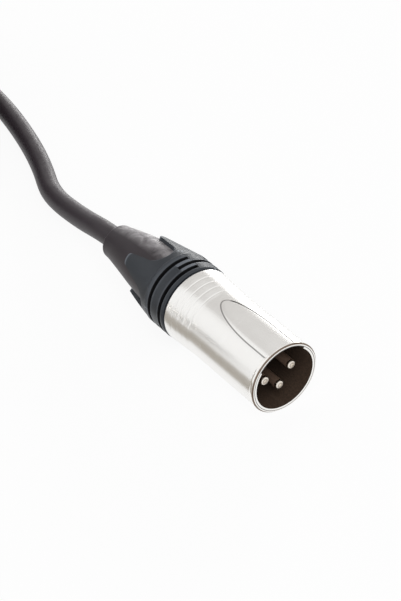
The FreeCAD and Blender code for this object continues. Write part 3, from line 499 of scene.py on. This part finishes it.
def select_faces(piece, chosen):
    """Leaves the piece in edit mode with the faces selected whose centre passes the test."""
    bpy.ops.object.mode_set(mode="EDIT")
    bpy.ops.mesh.select_mode(type="FACE")
    bpy.ops.mesh.select_all(action="DESELECT")
    bpy.ops.object.mode_set(mode="OBJECT")
    for face in piece.data.polygons:
        face.select = chosen(face.center)
    bpy.ops.object.mode_set(mode="EDIT")


def only(piece):
    """Makes the piece the one that operators act on."""
    bpy.ops.object.select_all(action="DESELECT")
    piece.select_set(True)
    bpy.context.view_layer.objects.active = piece


def apply_modifier(piece, kind, **settings):
    """Adds a modifier with its settings and applies it."""
    only(piece)
    modifier = piece.modifiers.new(kind.title(), kind)
    for name, value in settings.items():
        setattr(modifier, name, value)
    bpy.ops.object.modifier_apply(modifier=modifier.name)


def cut_away(piece, cutter):
    """Cuts one mesh out of another, and takes the cutter away."""
    apply_modifier(piece, "BOOLEAN", operation="DIFFERENCE", object=cutter, solver="EXACT")
    bpy.data.objects.remove(cutter)


def station_radius_angle(point):
    """Station, radius and angle from the key of a point in a connector's own frame, in mm and degrees."""
    return -point.x / MM, math.hypot(point.y, point.z) / MM, math.degrees(math.atan2(point.y, point.z))


PLUG_PLACE = Matrix.Translation(Vector((34.75, 0, 10.05)) * MM) @ Matrix.Rotation(math.radians(8), 4, "X")
SOCKET_PLACE = Matrix.Translation(Vector((-26, -61.5, 10.05)) * MM)


def settle(piece, place, slot, *stands_for, body="cable", smooth=35):
    """Applies the piece's place to its mesh, smooths it and joins it to its body."""
    piece.matrix_world = place
    only(piece)
    bpy.ops.object.transform_apply(location=True, rotation=True, scale=True)
    bpy.ops.object.shade_smooth_by_angle(angle=math.radians(smooth))
    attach(piece, body)
    if stands_for:
        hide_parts(*stands_for)
    print(piece.name, "faces:", len(piece.data.polygons))


# %% [markdown]
# ## The plug's shell
#
# The real shell is a zinc casting with a rolled rim, a straight barrel, and a slow cone with four fine
# rings towards the collar. It could be put together from tubes. All of it is round, so it is turned here
# from one section, rim and bore together. The keyway, a shallow recess inside the mouth, and the pocket
# that the latch drops into are cut out afterwards.

# %% The plug's shell
MOUTH_RADIUS = 8.26
RIM_RADIUS = 9.5
BARREL_RADIUS = 9.38
REAR_RADIUS = 9.9
BORE_RADIUS = 8.6
PLUG_LENGTH = 34.26


def barrel_steps(length):
    """The slow cone ahead of a shell's rear edge, with four fine rings cut in it."""
    corners = [(length - 9.6, BARREL_RADIUS, 0.4)]
    for ring in range(4):
        along = 0.7 + 2.1 * ring
        low = BARREL_RADIUS + (REAR_RADIUS - BARREL_RADIUS) * along / 9.6
        station = length - 9.6 + along
        corners += [(station - 0.2, low, 0.1), (station, low - 0.02, 0.08), (station + 0.2, low + 0.035, 0.1)]
    return corners


plug_shell = turned_piece("plug_shell_cast", [
    (15.0, MOUTH_RADIUS), (0.0, MOUTH_RADIUS, 0.08), (0.0, 8.70, 0.04), (0.09, 8.75), (0.09, 8.84), (0.0, 8.90, 0.04),
    (0.0, 9.14, 0.05), (0.12, 9.18), (0.34, 9.42), (0.42, RIM_RADIUS, 0.06), (0.95, RIM_RADIUS, 0.2),
    (1.3, BARREL_RADIUS, 0.15),
    *barrel_steps(PLUG_LENGTH),
    (PLUG_LENGTH, REAR_RADIUS, 0.22), (PLUG_LENGTH, BORE_RADIUS, 0.1), (15.0, BORE_RADIUS)], steps=192)


def ring_cutter(name, inner, outer, start, end, middle, width):
    """A part of a ring between two radii and two stations, for cutting. The section starts at the first angle."""
    first = math.radians(middle - width / 2)
    corners = [(start, inner), (start, outer), (end, outer), (end, inner)]
    section = [Vector((-station, radius * math.sin(first), radius * math.cos(first))) * MM
               for station, radius in corners]
    piece = begin_at(name, section[0])
    extrude_through(section + section[:1])
    bpy.ops.mesh.select_all(action="SELECT")
    bpy.ops.mesh.remove_doubles(threshold=0.002 * MM)
    bpy.ops.mesh.edge_face_add()
    bpy.ops.mesh.spin(steps=int(width / 2), angle=math.radians(width), center=(0, 0, 0), axis=(1, 0, 0))
    bpy.ops.mesh.select_all(action="SELECT")
    bpy.ops.mesh.normals_make_consistent(inside=False)
    bpy.ops.object.mode_set(mode="OBJECT")
    return piece


def block(name, start, end, half_width, low, high):
    """A box between two stations, for cutting or as the start of a piece."""
    bpy.ops.object.select_all(action="DESELECT")
    centre = Vector((-(start + end) / 2, 0, (low + high) / 2)) * MM
    extent = Vector((end - start, 2 * half_width, high - low)) * MM
    bpy.ops.mesh.primitive_cube_add(size=1, location=centre, scale=extent)
    piece = bpy.context.object
    piece.name = name
    bpy.ops.object.transform_apply(location=True, rotation=True, scale=True)
    return piece


cut_away(plug_shell, ring_cutter("keyway_cutter", 7.8, MOUTH_RADIUS + 0.45, -1, 13.5, 0, 94))
cut_away(plug_shell, block("catch_cutter", 5.6, 9.0, 2.8, 6.0, 9.11))
for material in (nickel, polished_nickel, mouth_painted_shade, seam_painted_shade, rim_chamfer_painted_shade):
    plug_shell.data.materials.append(material)
for face in plug_shell.data.polygons:
    station, radius, _ = station_radius_angle(face.center)
    # Painted shade: dark brown inside the mouth, darker nickel in the groove of the rim's face, and a brown ring on the
    # chamfer outside the rim.
    inside = radius < 8.8 and 0.3 < station < 34
    shaded_rim_groove = 8.70 < radius < 8.90 and 0.02 < station < 0.2
    shaded_rim_chamfer = 9.15 < radius < 9.44 and 0.05 < station < 0.4
    face.material_index = 4 if shaded_rim_chamfer else 3 if shaded_rim_groove else 2 if inside else 1 if station < 1.2 else 0
settle(plug_shell, PLUG_PLACE, "shell", "plug_shell")

# %% [markdown]
# ## The arched panel
#
# On the real shell this is a long field with an arched end, set off by a fine line. A boolean could cut
# the line. Here the panel is a grid instead, whose rows follow the outline inwards: the line, a narrow
# slope on the left, and then the flat. So the line has faces, and a material, of its own: painted shade,
# darker on the right. The bend round the barrel comes last.

# %% The arched panel
PANEL_HALF_WIDTH = 4.31
PANEL_START = 0.6
PANEL_STRAIGHT = 7.0
PANEL_ARCH = 15.4
PANEL_ROWS = 6
PANEL_LINE = 0.34
PANEL_SLOPE = 0.30
PANEL_RISE = 0.14
LINE_STEP = 0.03
LINE_DROP = 0.08
RIGHT_LINE = 1.3 * PANEL_LINE


def panel_outline(share):
    """Station and arc of a point on the outline, and the way inwards: -1 and 1 are its feet and 0 is its tip."""
    side = math.copysign(1, share)
    away = abs(share)
    if away > 0.4:
        station = PANEL_START + (PANEL_STRAIGHT - PANEL_START) * (1 - away) / 0.6
        return Vector((station, side * PANEL_HALF_WIDTH)), Vector((0, -side))
    turn = (1 - away / 0.4) * math.pi / 2
    across = math.cos(turn)
    point = Vector((PANEL_STRAIGHT + PANEL_ARCH * math.sin(turn), side * PANEL_HALF_WIDTH * across))
    outward = Vector((math.sin(turn) / PANEL_ARCH, side * across / PANEL_HALF_WIDTH))
    return point, -outward.normalized()


bpy.ops.object.select_all(action="DESELECT")
bpy.ops.mesh.primitive_grid_add(x_subdivisions=160, y_subdivisions=PANEL_ROWS, size=2)
panel = bpy.context.object
panel.name = "plug_shell_panel"
for material in (nickel, seam_painted_shade, shaded_seam):
    panel.data.materials.append(material)
for face in panel.data.polygons:
    # Painted shade on the line, darker still on the right, because it renders paler there.
    face.material_index = 0 if face.center.y > -1 + 2 / PANEL_ROWS else 2 if face.center.x > 0.1 else 1
for vertex in panel.data.vertices:
    point, inward = panel_outline(vertex.co.x)
    row = round((vertex.co.y + 1) / 2 * PANEL_ROWS)
    middle = Vector((min(point.x, PANEL_STRAIGHT + PANEL_ARCH - PANEL_HALF_WIDTH), 0))
    line = RIGHT_LINE if vertex.co.x > 0.1 else PANEL_LINE
    if row == 1:
        point = point + line * inward
    elif row:
        point = (point + (line + PANEL_SLOPE) * inward).lerp(middle, (row - 2) / (PANEL_ROWS - 2))
    # The line's inner wall slopes only on the left.
    slope = LINE_DROP * min(1, max(0, 0.5 - 5 * vertex.co.x))
    radius = BARREL_RADIUS + PANEL_RISE - (LINE_STEP + slope, slope, 0)[min(row, 2)]
    angle = point.y / BARREL_RADIUS
    vertex.co = Vector((-point.x, radius * math.sin(angle), radius * math.cos(angle))) * MM
only(panel)
bpy.ops.object.mode_set(mode="EDIT")
bpy.ops.mesh.select_all(action="SELECT")
bpy.ops.mesh.remove_doubles(threshold=0.004 * MM)
bpy.ops.mesh.normals_make_consistent(inside=False)
bpy.ops.object.mode_set(mode="OBJECT")
apply_modifier(panel, "SOLIDIFY", thickness=0.3 * MM, offset=-1)
settle(panel, PLUG_PLACE, "shell", smooth=20)

# %% [markdown]
# ## Pins
#
# A pin is turned brass under a bright plating, with a rounded tip and a small dimple in it. One pin is
# modelled with its body and solder cup, and copied twice onto the circle of contacts. Its shaft and a ring
# round its tip carry painted shade.

# %% Pins
CONTACT_CIRCLE = 3.96
CONTACT_ANGLES = (90, -90, 180)


def solder_cup(start):
    """The hollow cup at the back of a contact."""
    return [(start, 1.4), (start + 5.4, 1.4, 0.1), (start + 5.4, 1.0, 0.1), (start + 1.8, 1.0), (start + 1.8, 0)]


def contact_place(angle):
    """From the axis to a place on the circle of contacts, at an angle from the key."""
    turn = math.radians(angle)
    return Matrix.Translation(Vector((0, math.sin(turn), math.cos(turn))) * CONTACT_CIRCLE * MM)


pin_shape = turned_piece("plug_pin_turned_1", [
    (2.5, 0), (2.5, 0.3), (2.3, 0.38), (2.3, 1.2, 0.8), (15.05, 1.2), (15.05, 1.55), (23.5, 1.55),
    *solder_cup(23.5)], steps=48, closed=False)
for material in (contact_metal, pin_shaft_painted_shade, pin_tip_painted_shade):
    pin_shape.data.materials.append(material)
for face in pin_shape.data.polygons:
    station, radius, _ = station_radius_angle(face.center)
    on_shaded_tip_ring = station < 2.4 and 0.4 < radius < 0.78
    # Painted shade on the ring round the tip and on the shaft in the mouth.
    face.material_index = 2 if on_shaded_tip_ring else int(3.7 < station < 16)
pins = [pin_shape]
for number in (2, 3):
    pin = pin_shape.copy()
    pin.data = pin_shape.data.copy()
    pin.name = f"plug_pin_turned_{number}"
    bpy.context.scene.collection.objects.link(pin)
    pins.append(pin)
for number, (pin, angle) in enumerate(zip(pins, CONTACT_ANGLES), start=1):
    settle(pin, PLUG_PLACE @ contact_place(angle), "contact", f"plug_pin_{number}")

# %% [markdown]
# ## Collar
#
# The collar screws onto the shell and squeezes the cord. Its front is a cylinder with three rows of
# relief grooves, and its back is four prongs that lie over the boot. The whole collar is one turned
# section, wall and all. The rows of faces beyond the cylinder are then drawn back to the outline of the
# gaps, so the mesh stays even, and the grooves are faces pushed inwards.

# %% Collar
COLLAR_RADIUS = 10.05
GROOVE_STATIONS = (2.05, 4.05, 6.13)
GROOVE_HALF = 0.55
GROOVE_DEPTH = 1.8
BRIDGE_ANGLE = 33
SHORT_GROOVE_HALF = 40
BRIDGE_HALF = 15
CONE_ROWS = 16
CONE_START = 8.35
BOOT_FRONT = 9.74
PRONG_TIP = 20.74


def collar_outside(station):
    """Radius of the collar's outside behind the cylinder, at a station behind the shell's end."""
    if station < 10:
        return 9.93 - (station - 8) / 2 * 0.23
    return 9.7 - (station - 10) / (PRONG_TIP - 10) * 1.7


def collar_inside(station):
    """Radius of the prongs' inside, just over the boot."""
    return 8.53 - (station - BOOT_FRONT) / (PRONG_TIP - BOOT_FRONT) * 1.47


def prong_end(angle):
    """Station where the collar ends at an angle: the round bottom and the flared sides of a gap."""
    away = math.radians(abs((angle + 45) % 90 - 45))
    bend, round_half, near_tip = 13.7, 3.7, 19.94
    station = bend
    for _ in range(12):
        half = collar_outside(station) * math.sin(away)
        if half <= round_half:
            station = bend - math.sqrt(round_half ** 2 - half ** 2)
        elif half <= 4.45:
            station = bend + (half - round_half) / 0.75 * (near_tip - bend)
        else:
            station = near_tip + 0.8 * math.sqrt(1 - max(0.0, 1 - (half - 4.45) / 1.15) ** 2)
    return min(station, PRONG_TIP)


def make_collar(name, length, place, node):
    """A collar at the end of a shell of this length."""
    rows = [row / CONE_ROWS for row in range(1, CONE_ROWS + 1)]
    outer = [CONE_START + row * (PRONG_TIP - CONE_START) for row in rows]
    inner = [BOOT_FRONT + 0.05 + row * (PRONG_TIP - BOOT_FRONT - 0.05) for row in rows]
    corners = [(-6.3, 7.25), (-6.3, 8.45, 0.2), (0.5, 8.45), (0.5, 9.75), (0.58, 9.9), (0.72, 10.0)]
    corners += [(0.9, COLLAR_RADIUS), (1.1, COLLAR_RADIUS)]
    for middle in GROOVE_STATIONS:
        corners += [(middle - GROOVE_HALF, COLLAR_RADIUS), (middle + GROOVE_HALF, COLLAR_RADIUS)]
    corners += [(7.8, COLLAR_RADIUS), (7.95, COLLAR_RADIUS), (8.08, 9.93), (CONE_START, collar_outside(CONE_START))]
    corners += [(station, collar_outside(station)) for station in outer]
    corners += [(station, collar_inside(station)) for station in reversed(inner)]
    corners += [(BOOT_FRONT, 8.53), (BOOT_FRONT, 3.1), (8.25, 3.1), (8.25, 5.45), (-1.1, 7.25)]
    shifted = [(corner[0] + length, *corner[1:]) for corner in corners]
    piece = turned_piece(name, shifted, steps=360)
    for vertex in piece.data.vertices:
        station, radius, angle = station_radius_angle(vertex.co)
        station -= length
        if station <= CONE_START + 0.01 or radius < 7:
            continue
        outside = radius > (collar_outside(station) + collar_inside(station)) / 2
        start = CONE_START if outside else BOOT_FRONT + 0.05
        if station <= start:
            continue
        along = (station - start) / (PRONG_TIP - start)
        station = start + along * (prong_end(angle) - start)
        scale = (collar_outside(station) if outside else collar_inside(station)) / radius
        vertex.co = Vector((-(station + length) * MM, vertex.co.y * scale, vertex.co.z * scale))

    def in_groove(point):
        station, radius, angle = station_radius_angle(point)
        from_bridge = abs((angle - BRIDGE_ANGLE + 90) % 180 - 90)
        near, short, far = [abs(station - length - middle) < GROOVE_HALF for middle in GROOVE_STATIONS]
        if radius < 9.9:
            return False
        return from_bridge < SHORT_GROOVE_HALF if short else from_bridge > BRIDGE_HALF and (near or far)

    only(piece)
    select_faces(piece, in_groove)
    bpy.ops.mesh.extrude_region()
    floor = (COLLAR_RADIUS - GROOVE_DEPTH) / COLLAR_RADIUS
    bpy.ops.transform.resize(value=(1, floor, floor), center_override=(0, 0, 0))
    bpy.ops.object.mode_set(mode="OBJECT")
    apply_modifier(piece, "BEVEL", width=0.17 * MM, segments=2, limit_method="ANGLE", angle_limit=math.radians(50))
    only(piece)
    bpy.ops.object.mode_set(mode="EDIT")
    bpy.ops.mesh.select_all(action="SELECT")
    bpy.ops.mesh.remove_doubles(threshold=0.035 * MM)
    bpy.ops.object.mode_set(mode="OBJECT")
    coat(piece, slate_plastic)
    piece.data.materials.append(groove_painted_shade)
    # Painted shade in the grooves.
    for face in piece.data.polygons:
        station, radius, _ = station_radius_angle(face.center)
        face.material_index = int(1 < station - length < 7.2 and COLLAR_RADIUS - 2 < radius < COLLAR_RADIUS - 0.16)
    settle(piece, place, "collar", node)
    return piece


plug_collar = make_collar("plug_collar_moulded", PLUG_LENGTH, PLUG_PLACE, "plug_collar")

# %% [markdown]
# ## Boot
#
# The boot is a soft rubber sleeve. It starts under the prongs, tapers in a long slow curve, and
# ends in a rounded lip that sits on the cord and sags a little with it. A lattice could bend it. Its
# section is divided finely instead, so the sag is a small shift of each vertex.

# %% Boot
def make_boot(name, length, place, node, sag):
    """A boot behind a shell of this length, whose rear end sags by some millimetres."""
    corners = [(9.74, 2.95), (9.74, 8.5, 0.3), (20.74, 7.03, 3.0), (25.3, 6.2, 2.5), (29.3, 5.45, 2.5),
               (32.4, 4.86, 1.5), (34.2, 4.7, 0.55), (34.2, 2.95, 0.15)]
    dense = []
    points = softened([(corner[0] + length, *corner[1:]) for corner in corners])
    for here, after in zip(points, points[1:]):
        parts = max(1, int((after - here).length / 1.2))
        dense += [tuple(here.lerp(after, part / parts)) for part in range(parts)]
    piece = turned_piece(name, dense + [tuple(points[-1])], steps=128)
    piece.matrix_world = place
    only(piece)
    bpy.ops.object.transform_apply(location=True, rotation=True, scale=True)
    end = place.translation.x - (length + 34.2) * MM
    for vertex in piece.data.vertices:
        along = max(0.0, 1 - (vertex.co.x - end) / (14 * MM))
        vertex.co.z -= sag * MM * along * along
    coat(piece, boot_rubber)
    settle(piece, Matrix(), "boot", node)
    return piece


plug_boot = make_boot("plug_boot_moulded", PLUG_LENGTH, PLUG_PLACE, "plug_boot", 0.95)

# %% [markdown]
# ## The socket
#
# The far end has the same rear half as the plug, so the functions for the collar and the boot are used
# again. Its shell has a long round nose in front, a slot for the latch's hook, and a window for the
# button. Both openings are cut through the turned wall.

# %% The socket's shell
SOCKET_LENGTH = 41.0
NOSE_RADIUS = 7.95
socket_shell = turned_piece("socket_shell_cast", [
    (19.0, 7.1), (0.0, 7.1, 0.1), (0.0, 7.65, 0.1), (0.35, NOSE_RADIUS, 0.15), (15.9, NOSE_RADIUS, 0.1),
    (15.9, 9.0, 0.1), (16.3, 9.44, 0.2), (17.2, 9.44, 0.1), (17.35, 9.3, 0.05), (17.5, BARREL_RADIUS, 0.1),
    *barrel_steps(SOCKET_LENGTH),
    (SOCKET_LENGTH, REAR_RADIUS, 0.22), (SOCKET_LENGTH, BORE_RADIUS, 0.1), (19.0, BORE_RADIUS)], steps=192)
cut_away(socket_shell, block("slot_cutter", 3.6, 17.5, 2.7, 4.4, 9.7))
cut_away(socket_shell, block("window_cutter", 17.1, 25.7, 3.0, 4.4, 11))
for material in (nickel, polished_nickel, mouth_painted_shade):
    socket_shell.data.materials.append(material)
for face in socket_shell.data.polygons:
    station, radius, _ = station_radius_angle(face.center)
    # Painted shade: the inside of the nose and of the bore is dark brown.
    inside = radius < 7.2 or (radius < 8.7 and station > 19)
    face.material_index = 2 if inside else 1 if 15.8 < station < 17.3 else 0
settle(socket_shell, SOCKET_PLACE, "shell", "socket_shell")
socket_collar = make_collar("socket_collar_moulded", SOCKET_LENGTH, SOCKET_PLACE, "socket_collar")
socket_boot = make_boot("socket_boot_moulded", SOCKET_LENGTH, SOCKET_PLACE, "socket_boot", 0.0)

# %% [markdown]
# ## The latch
#
# The latch is one lever on a pin across the shell: the hook in front, the push button in the window and
# the pin behind it. It could be joined from blocks. Its bends all lie in one plane, so its side is drawn
# once and extruded to its width. The leaf spring and the pin keep the meshes of the model.

# %% The latch
LATCH_OUTLINE = [
    (4.8, 6.2), (4.8, 6.95), (6.6, 8.9), (8.1, 8.9), (8.1, 7.25), (17.4, 7.25), (17.4, 9.9, 0.4), (17.9, 10.3, 0.4),
    (21.2, 10.1, 0.6), (24.5, 10.0, 0.4), (25.4, 8.8, 0.4), (25.4, 7.55), (28.6, 7.55), (28.6, 6.2)]
outline = [Vector((-station, -2.4, height)) * MM for station, height in softened(LATCH_OUTLINE)]
latch = begin_at("latch_lever", outline[0])
extrude_through(outline + outline[:1])
bpy.ops.mesh.select_all(action="SELECT")
bpy.ops.mesh.remove_doubles(threshold=0.002 * MM)
bpy.ops.mesh.edge_face_add()
bpy.ops.mesh.extrude_region_move(TRANSFORM_OT_translate={"value": (0, 4.8 * MM, 0)})
bpy.ops.mesh.select_all(action="SELECT")
bpy.ops.mesh.normals_make_consistent(inside=False)
bpy.ops.object.mode_set(mode="OBJECT")
bpy.ops.object.select_all(action="DESELECT")
bpy.ops.mesh.primitive_cylinder_add(vertices=32, radius=0.65 * MM, depth=9 * MM,
                                    location=(-27.3 * MM, 0, 6.75 * MM), rotation=(math.pi / 2, 0, 0))
eye = bpy.context.object
cut_away(latch, eye)
apply_modifier(latch, "BEVEL", width=0.15 * MM, segments=3, limit_method="ANGLE", angle_limit=math.radians(50))
coat(latch, nickel)
settle(latch, SOCKET_PLACE, "latch", "latch_button", body="latch", smooth=40)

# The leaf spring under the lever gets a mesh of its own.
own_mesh(nodes["latch_spring"])

# %% [markdown]
# ## The tie
#
# A hook-and-loop strap holds the coil. It is pulled tight, so its section is the hull of the turns
# that it goes round: in every direction the strap touches the turn that reaches furthest. The section
# is spun through the strap's width, and Solidify gives it its thickness.

# %% The tie
BUNDLE = [Vector((radius, CORD_RADIUS + STRAP_THICKNESS + height)) for radius, height in (
    (25.7, 0), (37.3, 0), (37.3, 17.4), (34.4, 22.42), (25.7, 17.4))]


def strap_section(gap, start=0, end=360, step=7.5):
    """Points round the bundle at a gap outside its turns, by direction."""
    points = []
    for index in range(int((end - start) / step) + 1):
        turn = math.radians(start + index * step)
        direction = Vector((math.cos(turn), math.sin(turn)))
        outmost = max(BUNDLE, key=lambda centre: centre.dot(direction))
        points.append(outmost + direction * (CORD_RADIUS + gap))
    return points


def make_strap(name, section, width, thickness):
    """A band along the section, spun through its width round the coil's centre."""
    line = [Vector((point.x, 0, point.y)) * MM for point in section]
    piece = begin_at(name, line[0])
    extrude_through(line)
    bpy.ops.mesh.select_all(action="SELECT")
    # The rotation and the spin both turn the negative way here, so the band ends up centred.
    bpy.ops.transform.rotate(value=-math.radians(width / 2), orient_axis="Z", center_override=(0, 0, 0))
    bpy.ops.mesh.spin(steps=16, angle=math.radians(width), center=(0, 0, 0), axis=(0, 0, 1))
    bpy.ops.mesh.select_all(action="SELECT")
    bpy.ops.mesh.remove_doubles(threshold=0.01 * MM)
    bpy.ops.mesh.normals_make_consistent(inside=False)
    bpy.ops.object.mode_set(mode="OBJECT")
    apply_modifier(piece, "SOLIDIFY", thickness=thickness * MM, offset=0)
    apply_modifier(piece, "BEVEL", width=0.2 * MM, segments=2, limit_method="ANGLE", angle_limit=math.radians(50))
    return piece


TIE_PLACE = Matrix.Translation(COIL_CENTRE * MM) @ Matrix.Rotation(math.radians(TIE_ANGLE), 4, "Z")
strap = make_strap("cord_tie_strap", strap_section(0.5), 26, 0.9)
coat(strap, woven_tape)
settle(strap, TIE_PLACE, "tie", "cord_tie")
flap = make_strap("cord_tie_flap", strap_section(1.45, 10, 150), 24, 0.9)
coat(flap, woven_tape)
settle(flap, TIE_PLACE, "tie")

# %% The pieces on the cord
SOCKET_NODES = [name for name in nodes if name.startswith(("socket_", "latch_"))]
on_cord = [nodes[name] for name in SOCKET_NODES] + [nodes["cord_tie"]]
on_cord += [socket_shell, socket_collar, socket_boot, latch, strap, flap]

# %% [markdown]
# ## The floor and the light
#
# The photograph is a product picture on white: its background is pure white and the metal mirrors it.
# So the floor and the world are white to the camera and to reflections. The floor keeps a part of the
# object's soft shadow. Three softboxes, at the left, the right and the front, light the rubber and the
# plastic. The metal doesn't see them: its bands of tone come from cards that only reflections see, two
# grey flags and a bright card at the right that fades upwards. The low flag lies on the floor beside the
# plug as painted shade, standing in for the floor's shade there.

# %% The floor
def seen_directly(tree):
    """A mask of the rays that come from the camera, a reflection or a transparency."""
    paths = add_node(tree, "LightPath")
    seen = arithmetic(tree, "MAXIMUM", paths.outputs["Is Camera Ray"], paths.outputs["Is Glossy Ray"])
    return arithmetic(tree, "MAXIMUM", seen, paths.outputs["Is Transmission Ray"])


bpy.ops.object.select_all(action="DESELECT")
bpy.ops.mesh.primitive_plane_add(size=6, location=(0, 0, 0))
floor = bpy.context.object
floor.name = "floor"
floor_white, tree, shader = new_material("floor_white", Base_Color=(0.92, 0.92, 0.92, 1), Roughness=0.9)
shader.inputs["Specular IOR Level"].default_value = 0.0
glow = add_node(tree, "Emission", {"Color": (1, 1, 1, 1), "Strength": 1.0})
share = arithmetic(tree, "MULTIPLY", seen_directly(tree), 0.92)
mixed = add_node(tree, "MixShader", {0: share, 1: shader.outputs["BSDF"], 2: glow.outputs["Emission"]})
tree.links.new(mixed.outputs[0], tree.nodes["Material Output"].inputs["Surface"])
coat(floor, floor_white)


# %% The light
def add_lamp(name, place, aim, size, power):
    """A square area lamp at a place, pointing at another, that reflections don't see."""
    data = bpy.data.lights.new(name, "AREA")
    data.shape = "SQUARE"
    data.size = size
    data.energy = power
    lamp = bpy.data.objects.new(name, data)
    lamp.visible_glossy = False
    bpy.context.scene.collection.objects.link(lamp)
    lamp.location = place
    lamp.rotation_euler = (Vector(aim) - Vector(place)).to_track_quat("-Z", "Y").to_euler()


def add_flag(name, place, aim, width, height, colour, roll=0, lower_edge=1.0):
    """A card that only reflections see, facing a point, rolled by some degrees, perhaps brighter lower down."""
    bpy.ops.object.select_all(action="DESELECT")
    bpy.ops.mesh.primitive_plane_add(size=1, location=place)
    flag = bpy.context.object
    flag.name = name
    flag.scale = (width, height, 1)
    turn = (Vector(aim) - Vector(place)).to_track_quat("Z", "Y") @ Quaternion((0, 0, 1), math.radians(roll))
    flag.rotation_euler = turn.to_euler()
    flag.visible_camera = False
    flag.visible_diffuse = False
    flag.visible_shadow = False
    flag.visible_transmission = False
    material, tree, shader = new_material(name + "_paint")
    upwards = add_node(tree, "SeparateXYZ", {0: add_node(tree, "TexCoord").outputs["Object"]}).outputs["Y"]
    down = arithmetic(tree, "SUBTRACT", 0.5, upwards)
    strength = value_between(tree, arithmetic(tree, "MULTIPLY", down, down), 1.0, lower_edge)
    glow = add_node(tree, "Emission", {"Color": (*colour, 1), "Strength": strength})
    tree.links.new(glow.outputs["Emission"], tree.nodes["Material Output"].inputs["Surface"])
    coat(flag, material)


add_lamp("left_softbox", (-0.60, -0.58, 0.44), (0, 0, 0), 0.40, 0.5)
add_lamp("right_softbox", (-0.62, 0.84, 0.18), (0, 0, 0), 0.36, 7.0)
add_lamp("front_softbox", (0.50, -0.30, 0.80), (0, 0, 0), 0.60, 3.0)
add_flag("flag_above", (-0.40, 0.105, 0.34), (0, 0, 0), 0.66, 0.34, (0.64, 0.625, 0.61), roll=-22)
# Painted shade: a brown-grey card on the floor beside the plug, seen only in reflections, stands in for the floor's
# shade there.
add_flag("painted_floor_shade", (-0.02, -0.031, 0.0004), (-0.02, -0.031, 1), 0.12, 0.030, (0.42, 0.39, 0.35))
add_flag("card_right", (-0.66, 0.76, 0.21), (0, 0, 0.02), 0.50, 0.40, (0.98, 0.98, 0.97), lower_edge=9.0)
# The other views get their grey bands from three more flags, which the barrel doesn't mirror to the camera.
for side, place in (("back", (0.10, 0.75, 0.34)), ("front", (0.10, -0.75, 0.34)), ("far", (0.75, 0.0, 0.34))):
    add_flag("flag_" + side, place, (0, 0, 0), 0.60, 0.16, (0.42, 0.41, 0.40))

world = bpy.data.worlds.new("studio")
bpy.context.scene.world = world
world.use_nodes = True
tree = world.node_tree
strength = value_between(tree, seen_directly(tree), 0.55, 1.0)
tree.nodes["Background"].inputs["Color"].default_value = (1, 1, 1, 1)
tree.links.new(strength, tree.nodes["Background"].inputs["Strength"])
bpy.context.scene.view_settings.view_transform = "Standard"
